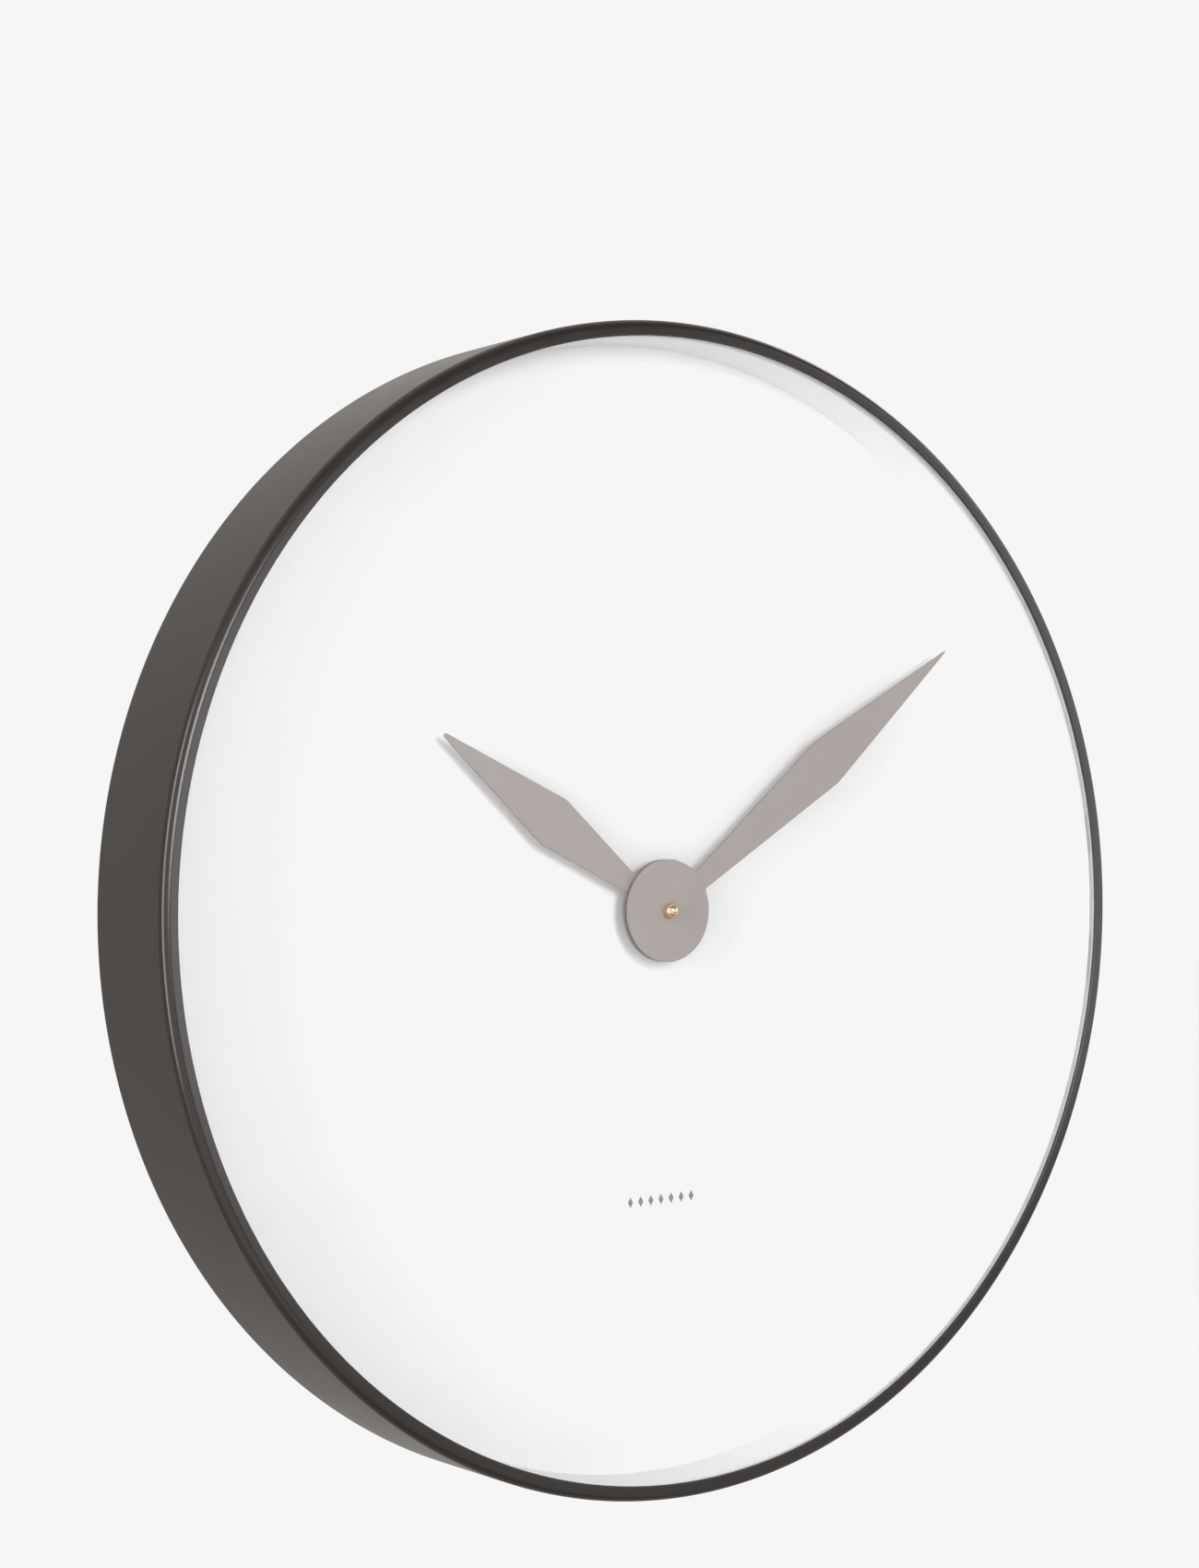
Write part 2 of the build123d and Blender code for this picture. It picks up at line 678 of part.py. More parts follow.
# ---- Motion work: what turns when the hands are set ------------------------------------
def minute_arbor():
    """The minute shaft with its cannon pinion, a slim rear end and a thread at the front."""
    shaft = disc(REAR_SHAFT_R, ROOM_BACK + END_FLOAT, SHOULDER_DEPTH)
    shaft = shaft + disc(PIVOT_R, ROOM_BACK - PIVOT_LENGTH, ROOM_BACK + END_FLOAT)
    shaft = shaft + disc(MINUTE_SHAFT_R, SHOULDER_DEPTH, MINUTE_FACE_DEPTH)
    shaft = shaft + disc(THREAD_R, MINUTE_FACE_DEPTH, BALL_BORE_DEPTH - END_FLOAT)
    return shaft + toothed(CANNON_PINION, CANNON_MODULE, UP, CANNON_LAYER, MAIN)


def clutch_washer():
    """Spring washer that lets the hands slip on the centre wheel when they are set."""
    return ring(CLUTCH_R, REAR_SHAFT_R + FIT_GAP, CENTRE_WHEEL[1] + CLUTCH_GAP, SHOULDER_DEPTH)


def hour_wheel():
    """Hour wheel and its tube, which carries the hour hand."""
    wheel = toothed(HOUR_TEETH, HOUR_MODULE, facing(DOWN, HOUR_TEETH), HOUR_WHEEL, MAIN)
    wheel = wheel + disc(HOUR_TUBE_R, HOUR_WHEEL[1], HOUR_FACE_DEPTH)
    return wheel - disc(HOUR_TUBE_BORE_R, HOUR_WHEEL[0], HOUR_FACE_DEPTH)


def setting_wheel():
    """Wheel and pinion between minute and hour, on the arbor that the knob turns."""
    wheel = toothed(SETTING_TEETH, CANNON_MODULE, facing(UP, SETTING_TEETH), CANNON_LAYER, SETTING)
    pinion_layer = (CANNON_LAYER[1], HOUR_WHEEL[1])
    wheel = wheel + toothed(SETTING_PINION, HOUR_MODULE, DOWN, pinion_layer, SETTING)
    wheel = wheel + disc(SETTING_SHAFT_R, KNOB_BORE_BACK + END_FLOAT, CANNON_LAYER[0], SETTING)
    return wheel + disc(PIVOT_R, HOUR_WHEEL[1], HOUSING_SPLIT + PIVOT_LENGTH, SETTING)


def setting_knob():
    """Ridged knob at the back that sets the hands."""
    outline = Circle(KNOB_R)
    groove = Circle(KNOB_GROOVE_R)
    for k in range(KNOB_RIDGES):
        outline = outline - Pos(*polar(MAIN, KNOB_R, 360 * k / KNOB_RIDGES)) * groove
    knob = Pos(SETTING[0], 0, SETTING[1]) * slab(outline, KNOB_BACK, KNOB_FRONT)
    return knob - disc(SETTING_SHAFT_R + FIT_GAP, KNOB_BORE_BACK, KNOB_FRONT, SETTING)


# ---- Going train: rotor to centre wheel ------------------------------------------------
def centre_wheel():
    """Slips on the minute shaft, and turns once an hour."""
    wheel = toothed(CENTRE_TEETH, CENTRE_MODULE, THIRD_BEARING, CENTRE_WHEEL, MAIN)
    hub = disc(MINUTE_SHAFT_R, BRIDGE_BACK, CENTRE_WHEEL[0])
    return wheel + hub - disc(CENTRE_BORE_R, BRIDGE_BACK, CENTRE_WHEEL[1])


def third_wheel():
    wheel = toothed(THIRD_TEETH, THIRD_MODULE, SECONDS_BEARING, THIRD_WHEEL, THIRD)
    layer = (THIRD_WHEEL[1], THIRD_PINION_FRONT)
    first_tooth = facing(THIRD_BEARING, THIRD_PINION)
    pinion = toothed(THIRD_PINION, CENTRE_MODULE, first_tooth, layer, THIRD)
    return wheel + pinion + arbor(THIRD, ROOM_BACK, HOUSING_SPLIT)


def seconds_wheel():
    wheel = toothed(SECONDS_TEETH, SECONDS_MODULE, INTERMEDIATE_BEARING, SECONDS_WHEEL, SECONDS)
    layer = (SECONDS_WHEEL[1], SECONDS_PINION_FRONT)
    first_tooth = facing(SECONDS_BEARING, SECONDS_PINION)
    pinion = toothed(SECONDS_PINION, THIRD_MODULE, first_tooth, layer, SECONDS)
    return wheel + pinion + arbor(SECONDS, ROOM_BACK, HOUSING_SPLIT)


def intermediate_wheel():
    wheel = toothed(
        INTERMEDIATE_TEETH, INTERMEDIATE_MODULE, ROTOR_BEARING, INTERMEDIATE_WHEEL, INTERMEDIATE
    )
    layer = (INTERMEDIATE_WHEEL[1], INTERMEDIATE_PINION_FRONT)
    first_tooth = facing(INTERMEDIATE_BEARING, INTERMEDIATE_PINION)
    pinion = toothed(INTERMEDIATE_PINION, SECONDS_MODULE, first_tooth, layer, INTERMEDIATE)
    return wheel + pinion + arbor(INTERMEDIATE, ROOM_BACK, BRIDGE_BACK)


def rotor_pinion():
    first_tooth = facing(ROTOR_BEARING, ROTOR_PINION)
    pinion = toothed(ROTOR_PINION, INTERMEDIATE_MODULE, first_tooth, ROTOR_PINION_LAYER, ROTOR)
    return pinion + arbor(ROTOR, ROOM_BACK, BRIDGE_BACK)


def rotor_magnet():
    return ring(MAGNET_R, ARBOR_R + FIT_GAP, MAGNET_LAYER[0], MAGNET_LAYER[1], ROTOR)


# ---- Step motor and electronics --------------------------------------------------------

def stator_bar(left, right, bottom, top):
    return block(left, right, bottom, top, STATOR_BACK, STATOR_FRONT)


def stator():
    """Flat iron circuit: one arm to each end of the coil, and a round hole for the rotor."""
    head = stator_bar(-STATOR_HEAD_HALF, STATOR_HEAD_HALF, STATOR_HEAD_LOW, STATOR_TOP)
    upper_arm = stator_bar(STATOR_LEFT, -STATOR_HEAD_HALF, UPPER_ARM_LOW, STATOR_TOP)
    lower_arm = stator_bar(LIMB_LEFT, -STATOR_HEAD_HALF, STATOR_HEAD_LOW, LOWER_ARM_HIGH)
    limb = stator_bar(LIMB_LEFT, LIMB_RIGHT, FOOT_LOW, STATOR_HEAD_LOW)
    foot = stator_bar(STATOR_LEFT, LIMB_LEFT, FOOT_LOW, FOOT_HIGH)
    plate = head + upper_arm + lower_arm + limb + foot
    plate = plate - disc(STATOR_HOLE_R, STATOR_BACK, STATOR_FRONT, ROTOR)
    reach = STATOR_HOLE_R + STATOR_NECK
    left = ROTOR[0] - STATOR_GAP_HALF
    right = ROTOR[0] + STATOR_GAP_HALF
    plate = plate - stator_bar(left, right, STATOR_HEAD_LOW, ROTOR[1] - reach)
    return plate - stator_bar(left, right, ROTOR[1] + reach, STATOR_TOP)


def coil_core():
    left, right = COIL_X - CORE_HALF, COIL_X + CORE_HALF
    return block(left, right, FOOT_LOW, STATOR_TOP, STATOR_FRONT, CORE_FRONT)


def coil_tube(outer_r, low, high):
    """An upright round bar about the coil's axis."""
    middle = (STATOR_FRONT + CORE_FRONT) / 2
    return Pos(COIL_X, -middle, (low + high) / 2) * Cylinder(outer_r, high - low)


def coil_bobbin():
    spool = coil_tube(BOBBIN_R, COIL_LOW, COIL_HIGH)
    spool = spool + coil_tube(BOBBIN_FLANGE_R, COIL_LOW, COIL_LOW + BOBBIN_FLANGE)
    spool = spool + coil_tube(BOBBIN_FLANGE_R, COIL_HIGH - BOBBIN_FLANGE, COIL_HIGH)
    left = COIL_X - CORE_HALF - FIT_GAP
    right = COIL_X + CORE_HALF + FIT_GAP
    slot = block(left, right, COIL_LOW, COIL_HIGH, STATOR_FRONT - FIT_GAP, CORE_FRONT + FIT_GAP)
    return spool - slot


def coil_winding():
    low = COIL_LOW + BOBBIN_FLANGE
    high = COIL_HIGH - BOBBIN_FLANGE
    return coil_tube(WINDING_R, low, high) - coil_tube(BOBBIN_R, low, high)


def circuit_board():
    return block(PCB_LEFT, PCB_RIGHT, PCB_BOTTOM, PCB_TOP, PCB_BACK, PCB_FRONT)


def clock_chip():
    """Small sealed chip on the back of the board."""
    outline = Pos(*CHIP_AT) * Rectangle(CHIP_SIDE, CHIP_SIDE)
    return slab(outline, PCB_BACK - CHIP_THICKNESS, PCB_BACK)


def quartz_crystal():
    """Cylindrical can that lies on the board."""
    return Pos(CRYSTAL_AT[0], CRYSTAL_R - PCB_BACK, CRYSTAL_AT[1]) * Cylinder(CRYSTAL_R, CRYSTAL_LENGTH)


# ---- Battery and contacts --------------------------------------------------------------

def across(radius, left, right):
    """A round bar along X, on the axis of the battery."""
    bar = Cylinder(radius, right - left, rotation=(0, 90, 0))
    return Pos((left + right) / 2, -CELL_DEPTH, CELL_HEIGHT) * bar


def battery_cell():
    can = across(CELL_R, CELL_LEFT, CELL_RIGHT)
    return fillet(can.edges().filter_by(GeomType.CIRCLE), CELL_EDGE_R)


def battery_positive_cap():
    return across(NUB_R, CELL_RIGHT, CELL_RIGHT + NUB_LENGTH)


def positive_contact():
    """Sprung strip at the positive end, with a tail that reaches the circuit board."""
    strip = block(CONTACT_IN, CONTACT_OUT, CONTACT_LOW, CONTACT_HIGH, CONTACT_BACK, CONTACT_FRONT)
    bump = across(BUMP_R, CONTACT_IN - BUMP, CONTACT_IN)
    tail = block(CONTACT_IN, CONTACT_OUT, CONTACT_HIGH, POSITIVE_TAIL_HIGH, TAIL_BACK, CONTACT_FRONT)
    finger = block(
        POSITIVE_FINGER_LEFT, CONTACT_OUT, POSITIVE_FINGER_LOW, POSITIVE_TAIL_HIGH,
        PCB_FRONT, CONTACT_FRONT,
    )
    return strip + bump + tail + finger


def negative_contact():
    """Sprung strip at the negative end, with a long tail to the circuit board."""
    strip = block(-CONTACT_OUT, -CONTACT_IN, CONTACT_LOW, CONTACT_HIGH, CONTACT_BACK, CONTACT_FRONT)
    bump = across(BUMP_R, -CONTACT_IN, BUMP - CONTACT_IN)
    tail = block(-CONTACT_OUT, -CONTACT_IN, CONTACT_HIGH, NEGATIVE_TAIL_HIGH, TAIL_BACK, CONTACT_FRONT)
    finger = block(
        -CONTACT_OUT, NEGATIVE_FINGER_RIGHT, NEGATIVE_FINGER_LOW, NEGATIVE_TAIL_HIGH,
        PCB_FRONT, CONTACT_FRONT,
    )
    return strip + bump + tail + finger


SUB_PARTS = (
    case_shell, lens, lens_gasket, inner_ring, dial_plate, dial_mark,
    spacer_ring, rear_board, rear_board_screws, hanger_plate, hanger_rivets,
    movement_front_plate, movement_rear_housing, bridge_plate,
    threaded_bush, rubber_washer, brass_washer, hex_nut,
    hour_hand, hour_hand_collet, minute_hand, minute_hand_collet, cap_nut,
    minute_arbor, clutch_washer, hour_wheel, setting_wheel, setting_knob,
    centre_wheel, third_wheel, seconds_wheel, intermediate_wheel, rotor_pinion, rotor_magnet,
    stator, coil_core, coil_bobbin, coil_winding, circuit_board, clock_chip, quartz_crystal,
    battery_cell, battery_positive_cap, positive_contact, negative_contact,
)

os.makedirs("parts", exist_ok=True)
for build in SUB_PARTS:
    export_step(build(), f"parts/{build.__name__}.step")
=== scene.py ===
import json
from math import acos, atan2, cos, degrees, hypot, pi, radians, sin, sqrt, tan

import bmesh
import bpy
from mathutils import Matrix, Vector


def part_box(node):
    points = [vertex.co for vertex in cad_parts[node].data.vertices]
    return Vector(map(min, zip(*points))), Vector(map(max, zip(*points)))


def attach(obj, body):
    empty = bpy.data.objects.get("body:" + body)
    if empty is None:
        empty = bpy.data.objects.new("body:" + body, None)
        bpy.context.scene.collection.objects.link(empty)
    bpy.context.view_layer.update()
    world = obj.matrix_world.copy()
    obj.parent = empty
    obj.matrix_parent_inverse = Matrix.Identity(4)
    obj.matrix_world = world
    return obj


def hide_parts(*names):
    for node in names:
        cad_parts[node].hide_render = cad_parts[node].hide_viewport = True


# A round quartz wall clock, dressed for a studio picture. Metres, the dial axis is Y, the
# clock faces -Y and +Z is up. A "depth" is a distance in front of the wall, so y = -depth.

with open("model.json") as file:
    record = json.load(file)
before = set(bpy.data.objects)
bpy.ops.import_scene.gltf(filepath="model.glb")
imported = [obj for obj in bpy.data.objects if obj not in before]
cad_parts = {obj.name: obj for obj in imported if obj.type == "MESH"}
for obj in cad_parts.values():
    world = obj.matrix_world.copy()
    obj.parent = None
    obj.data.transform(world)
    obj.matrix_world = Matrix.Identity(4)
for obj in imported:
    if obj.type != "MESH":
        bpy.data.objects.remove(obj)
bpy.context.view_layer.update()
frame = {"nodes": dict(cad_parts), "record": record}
record = frame["record"]
nodes = frame["nodes"]

MM = 0.001
AXIS = Vector((0, 0, 0))

# ---- Sizes that the CAD boxes don't give -----------------------------------------------
SHEET = 1.2 * MM
LIP_WIDTH = 5.5 * MM
SHOULDER_R = 3.0 * MM
LIP_EDGE_R = 0.45 * MM
RAW_EDGE_R = 0.25 * MM
TAB_COUNT = 6
TAB_HALF_WIDTH = 5.0 * MM
TAB_INNER_R = 190.0 * MM
TAB_DEPTH = 1.0 * MM
TAB_CORNER_R = 2.0 * MM
TAB_EDGE_R = 0.2 * MM

GLASS_EDGE_R = 0.4 * MM
GASKET_LAP = 3.1 * MM
GASKET_CHAMFER = 1.4 * MM
GASKET_PLAY = 0.1 * MM
GASKET_EDGE_R = 0.18 * MM
# Depths over which the gasket's painted shade under the lip fades in, from none to full
GASKET_SHADE_START_Y = -40.7 * MM
GASKET_SHADE_FULL_Y = -41.9 * MM
RING_FRONT_R = 194.8 * MM
RING_BACK_R = 194.3 * MM
RING_WALL = 1.7 * MM
RING_FLANGE = 1.4 * MM
RING_EDGE_R = 0.15 * MM
DIAL_HOLE_R = 4.15 * MM
DIAL_EDGE_R = 0.2 * MM

HUB_DISC_R = 17.7 * MM
MINUTE_ROOT_HALF = 2.31 * MM
MINUTE_WIDE_HALF = 9.05 * MM
MINUTE_WIDE_AT = 88.8 * MM
MINUTE_TIP_R = 0.3 * MM
MINUTE_HOLE_R = 1.62 * MM
HOUR_ROOT_HALF = 0.86 * MM
HOUR_WIDE_HALF = 9.1 * MM
HOUR_WIDE_AT = 55.3 * MM
HOUR_TIP_R = 0.75 * MM
HOUR_HOLE_R = 2.52 * MM
HAND_EDGE_R = 0.1 * MM
CUT_EDGE_FACING = 0.3
NECK_R = 0.5 * MM

WINDOW_HALF = 31.0 * MM
WINDOW_CORNER_R = 4.0 * MM
BOARD_EDGE_R = 0.3 * MM
KEYHOLE_R = 4.5 * MM
KEYHOLE_ENTRY = 144.0 * MM
KEYHOLE_SEAT = 150.0 * MM
KEYHOLE_SLOT_HALF = 2.5 * MM
KEYHOLE_ROOM_R = 6.5 * MM
HANGER_CORNER_R = 5.0 * MM
HANGER_EDGE_R = 0.3 * MM
SCREW_COUNT = 6
SCREW_FIRST = 30.0
SCREW_CIRCLE_R = 191.0 * MM
SCREW_HEAD_R = 3.0 * MM
SCREW_SHANK_R = 1.5 * MM
SCREW_RECESS = 0.9 * MM
RECESS_HALF_LENGTH = 1.7 * MM
RECESS_HALF_WIDTH = 0.35 * MM
SCREW_HEAD_EDGE_R = 0.3 * MM
SCREW_SEAT_EDGE_R = 0.1 * MM
SCREW_POINT_R = 0.6 * MM
SCREW_TURN = 23.0
RIVET_SPREAD = 19.0 * MM
RIVET_R = 1.4 * MM
RIVET_HEAD_R = 2.6 * MM
RIVET_CROWN_R = 0.8 * RIVET_HEAD_R
RIVET_DOME_R = 0.5 * MM
RIVET_FOOT_R = 0.3 * MM
RIVET_FOOT_BACK_R = 0.1 * MM

CELL_EDGE_R = 0.7 * MM
CELL_END_DISH = 0.25 * MM
CELL_CAP_R = 0.5 * MM
SLEEVE_LAP = 1.6 * MM
SLEEVE_LAP_R = 0.1 * MM
BAND_AT = 11.0 * MM
BAND_WIDTH = 1.2 * MM
BAND_FADE = 0.1 * MM

# The CAD nodes that show from outside, and the widths of their rounded edges
NODE_EDGES = {
    "movement_rear_housing": 0.3 * MM,
    "movement_front_plate": 0.3 * MM,
    "setting_knob": 0.12 * MM,
    "hex_nut": 0.25 * MM,
    "brass_washer": 0.1 * MM,
    "threaded_bush": 0.15 * MM,
}

# ---- How finely things are divided -----------------------------------------------------
SEGMENTS = 512
DISC_SEGMENTS = 180
FINE_SEGMENTS = 96
SMALL_SEGMENTS = 48
SLOT_SEGMENTS = 32
HOLE_SEGMENTS = 24
KEYHOLE_SEGMENTS = 72
BALL_STEPS = 40

# Angles between faces, in degrees
SMOOTH_UP_TO = 32
SHEET_SMOOTH_UP_TO = 50
BEVEL_FROM = 40

# Distances that count as none
SAME_PLACE = 1e-7
SAME_CAD_PLACE = 1e-6
ON_AXIS = 1e-9


# ---- Mesh code -------------------------------------------------------------------------
def mesh_object(name, bm, sharp=SMOOTH_UP_TO):
    """An object from a bmesh, smooth except over edges sharper than so many degrees."""
    bmesh.ops.remove_doubles(bm, verts=bm.verts, dist=SAME_PLACE)
    bmesh.ops.recalc_face_normals(bm, faces=bm.faces)
    mesh = bpy.data.meshes.new(name)
    bm.to_mesh(mesh)
    bm.free()
    mesh.shade_smooth()
    mesh.set_sharp_from_angle(angle=radians(sharp))
    obj = bpy.data.objects.new(name, mesh)
    bpy.context.scene.collection.objects.link(obj)
    weighted = obj.modifiers.new("flat_faces_stay_flat", "WEIGHTED_NORMAL")
    weighted.keep_sharp = True
    return obj


def rounded(corners, steps=6):
    """A closed outline from (u, v, radius) corners, each rounded with its own radius."""
    outline = []
    for k, (u, v, radius) in enumerate(corners):
        here = Vector((u, v))
        if radius == 0:
            outline.append(here)
            continue
        back = (Vector(corners[k - 1][:2]) - here).normalized()
        on = (Vector(corners[(k + 1) % len(corners)][:2]) - here).normalized()
        half = back.angle(on) / 2
        middle = here + (back + on).normalized() * radius / sin(half)
        start = here + back * radius / tan(half) - middle
        end = here + on * radius / tan(half) - middle
        turn = start.angle_signed(end)
        for step in range(steps + 1):
            spoke = start.copy()
            spoke.rotate(Matrix.Rotation(-turn * step / steps, 2))
            outline.append(middle + spoke)
    return outline


def lathe(bm, profile, segments=SEGMENTS, about="Y", centre=AXIS):
    """Turns a closed (radius, along) profile about an axis. Points at radius 0 become poles."""
    rings = []
    for radius, along in profile:
        ring = []
        for k in range(1 if radius < ON_AXIS else segments):
            turn = 2 * pi * k / segments
            across, up = radius * sin(turn), radius * cos(turn)
            place = (across, along, up) if about == "Y" else (along, across, up)
            ring.append(bm.verts.new(centre + Vector(place)))
        rings.append(ring)
    for k, ring in enumerate(rings):
        other = rings[(k + 1) % len(rings)]
        for j in range(segments):
            quad = [
                ring[j % len(ring)], ring[(j + 1) % len(ring)],
                other[(j + 1) % len(other)], other[j % len(other)],
            ]
            corners = list(dict.fromkeys(quad))
            if len(corners) > 2:
                bm.faces.new(corners)
    return bm


def turned(name, corners, segments=SEGMENTS, steps=6, **place):
    """A turned piece from the (radius, along, rounding) corners of its half section."""
    return mesh_object(name, lathe(bmesh.new(), rounded(corners, steps), segments, **place))


def sheet_mesh(outline, holes, back, front, edge):
    """A flat sheet between two depths, its edges rounded, from (x, z) outlines."""
    curve = bpy.data.curves.new("outline", "CURVE")
    curve.dimensions = "2D"
    curve.fill_mode = "BOTH"
    curve.extrude = (front - back) / 2 - edge
    curve.bevel_depth = edge
    curve.bevel_resolution = 2
    curve.offset = -edge
    for points in (outline, *holes):
        spline = curve.splines.new("POLY")
        spline.points.add(len(points) - 1)
        for point, (x, z) in zip(spline.points, points):
            point.co = (x, z, 0, 1)
        spline.use_cyclic_u = True
    holder = bpy.data.objects.new("outline", curve)
    bpy.context.scene.collection.objects.link(holder)
    bpy.context.view_layer.update()
    depsgraph = bpy.context.evaluated_depsgraph_get()
    mesh = bpy.data.meshes.new_from_object(holder.evaluated_get(depsgraph))
    bpy.data.objects.remove(holder)
    bpy.data.curves.remove(curve)
    middle = -(back + front) / 2
    mesh.transform(Matrix(((1, 0, 0, 0), (0, 0, -1, middle), (0, 1, 0, 0), (0, 0, 0, 1))))
    return mesh


def plate(name, outline, holes, back, front, edge, turn=0.0):
    """sheet_mesh as an object, turned clockwise about the dial axis as seen from the front."""
    mesh = sheet_mesh(outline, holes, back, front, edge)
    mesh.transform(Matrix.Rotation(turn, 4, "Y"))
    bm = bmesh.new()
    bm.from_mesh(mesh)
    bpy.data.meshes.remove(mesh)
    return mesh_object(name, bm, SHEET_SMOOTH_UP_TO)


def circle(radius, at=(0, 0), count=FINE_SEGMENTS, first=0.0, last=360.0):
    """Points on a circle or, without its last point, on an arc, in degrees from +X."""
    steps = [radians(first + (last - first) * k / count) for k in range(count)]
    return [Vector((at[0] + radius * cos(a), at[1] + radius * sin(a))) for a in steps]


# ---- Places from the CAD ---------------------------------------------------------------
def reach(node):
    """(outer radius, back depth, front depth) of a node that is round about the dial axis."""
    low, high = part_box(node)
    return high.x, -high.y, -low.y


def tip_of(node, side):
    """(clockwise angle, length) of a hand whose tip is its highest point, left or right."""
    low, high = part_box(node)
    x = high.x if side == "right" else low.x
    return atan2(x, high.z), hypot(x, high.z)


# ---- Finishes --------------------------------------------------------------------------
# Sockets of a Mix node's colours, which share their names with its other kinds of value
MIX_FACTOR, MIX_A, MIX_B, MIX_RESULT = 0, 6, 7, 2
NOISE_LOW, NOISE_HIGH = 0.3, 0.7


class Finish:
    """A procedural material, built up in layers of noise on a Principled shader."""

    def __init__(self, name, colour, roughness, **sockets):
        self.name = name
        self.material = bpy.data.materials.new(name)
        self.material.use_nodes = True
        self.tree = self.material.node_tree
        self.shader = self.tree.nodes["Principled BSDF"]
        self.coordinates = self.node("ShaderNodeTexCoord").outputs["Object"]
        self.colour = colour
        self.bump_normal = None
        self.shader.inputs["Base Color"].default_value = (*colour, 1)
        self.shader.inputs["Roughness"].default_value = roughness
        for socket, value in sockets.items():
            self.shader.inputs[socket.replace("_", " ")].default_value = value

    def node(self, kind, settings=(), **inputs):
        """A node with its settings, and with values or links on its inputs."""
        made = self.tree.nodes.new(kind)
        for name, value in dict(settings).items():
            setattr(made, name, value)
        for name, value in inputs.items():
            socket = made.inputs[name.replace("_", " ")]
            if isinstance(value, bpy.types.NodeSocket):
                self.tree.links.new(value, socket)
            else:
                socket.default_value = value
        return made

    def noise(self, size, detail=3.0, stretch=(1, 1, 1)):
        """Cloudy noise with features of about this size, divided by stretch along each axis."""
        place = self.node("ShaderNodeMapping", Vector=self.coordinates, Scale=stretch)
        return self.node(
            "ShaderNodeTexNoise", Vector=place.outputs["Vector"], Scale=1 / size, Detail=detail,
        ).outputs["Fac"]

    def pits(self, size):
        """Small cells of about this size, dark in their middles."""
        return self.node(
            "ShaderNodeTexVoronoi", Vector=self.coordinates, Scale=1 / size,
        ).outputs["Distance"]

    def waves(self, direction, frequency, distortion):
        """Even bands across an axis."""
        return self.node(
            "ShaderNodeTexWave", {"bands_direction": direction},
            Vector=self.coordinates, Scale=frequency, Distortion=distortion,
        ).outputs["Fac"]

    def rings(self, pitch):
        """Fine turning marks about the dial axis."""
        flat = self.node("ShaderNodeVectorMath", {"operation": "MULTIPLY"})
        self.tree.links.new(self.coordinates, flat.inputs[0])
        flat.inputs[1].default_value = (1, 0, 1)
        length = self.node("ShaderNodeVectorMath", {"operation": "LENGTH"})
        self.tree.links.new(flat.outputs["Vector"], length.inputs[0])
        return self.node(
            "ShaderNodeTexNoise", {"noise_dimensions": "1D"},
            W=length.outputs["Value"], Scale=1 / pitch, Detail=2.0,
        ).outputs[0]

    def between(self, fac, low, high):
        """The middle of a noise's range, spread from low to high."""
        return self.node(
            "ShaderNodeMapRange", Value=fac, From_Min=NOISE_LOW, From_Max=NOISE_HIGH,
            To_Min=low, To_Max=high,
        ).outputs["Result"]

    def along(self, axis, start, end):
        """0 at start, 1 at end along an axis."""
        place = self.node("ShaderNodeSeparateXYZ", Vector=self.coordinates).outputs[axis]
        return self.node(
            "ShaderNodeMapRange", Value=place, From_Min=start, From_Max=end,
        ).outputs["Result"]

    def mottle(self, fac, other, amount=1.0):
        """Blends another colour in where the noise is high."""
        return self.blend(self.between(fac, 0.0, amount), other)

    def blend(self, fac, other):
        """Blends another colour in by a factor from 0 to 1."""
        mix = self.node("ShaderNodeMix", {"data_type": "RGBA"})
        self.tree.links.new(fac, mix.inputs[MIX_FACTOR])
        link = self.shader.inputs["Base Color"].links
        if link:
            self.tree.links.new(link[0].from_socket, mix.inputs[MIX_A])
        else:
            mix.inputs[MIX_A].default_value = (*self.colour, 1)
        mix.inputs[MIX_B].default_value = (*other, 1)
        self.tree.links.new(mix.outputs[MIX_RESULT], self.shader.inputs["Base Color"])
        return self

    def sheen_of(self, fac, low, high):
        """Roughness that follows a noise from low to high."""
        self.tree.links.new(self.between(fac, low, high), self.shader.inputs["Roughness"])
        return self

    def bumped(self, fac, height, strength=1.0):
        """Relief of this height, on top of any relief before it."""
        bump = self.node("ShaderNodeBump", Height=fac, Distance=height, Strength=strength)
        if self.bump_normal:
            self.tree.links.new(self.bump_normal, bump.inputs["Normal"])
        self.bump_normal = bump.outputs["Normal"]
        self.tree.links.new(self.bump_normal, self.shader.inputs["Normal"])
        return self


def lacquer():
    """Satin black lacquer on spun metal: faint orange peel, soft clouding of the gloss."""
    made = Finish("case_black", (0.021, 0.0162, 0.0138), 0.22)
    made.mottle(made.noise(60 * MM), (0.025, 0.0195, 0.0168))
    made.sheen_of(made.noise(12 * MM, 4), 0.2, 0.245)
    made.bumped(made.noise(1.6 * MM, 2), 0.003 * MM)
    return made.bumped(made.rings(0.5 * MM), 0.003 * MM)


def clear_glass():
    """Flat float glass. The alpha is plain, so that the dial shows through it."""
    made = Finish("lens_glass", (0.93, 0.96, 0.95), 0.03, Alpha=0.045, IOR=1.5)
    return made.sheen_of(made.noise(30 * MM), 0.015, 0.05)


def scaled(colour, amount):
    return tuple(min(1, amount * c) for c in colour)


def rubber(name, colour):
    """Soft dark rubber, a little dusty."""
    made = Finish(name, colour, 0.7)
    made.mottle(made.noise(2 * MM), scaled(colour, 1.2))
    made.sheen_of(made.noise(0.6 * MM), 0.6, 0.85)
    return made.bumped(made.noise(0.15 * MM), 0.01 * MM)


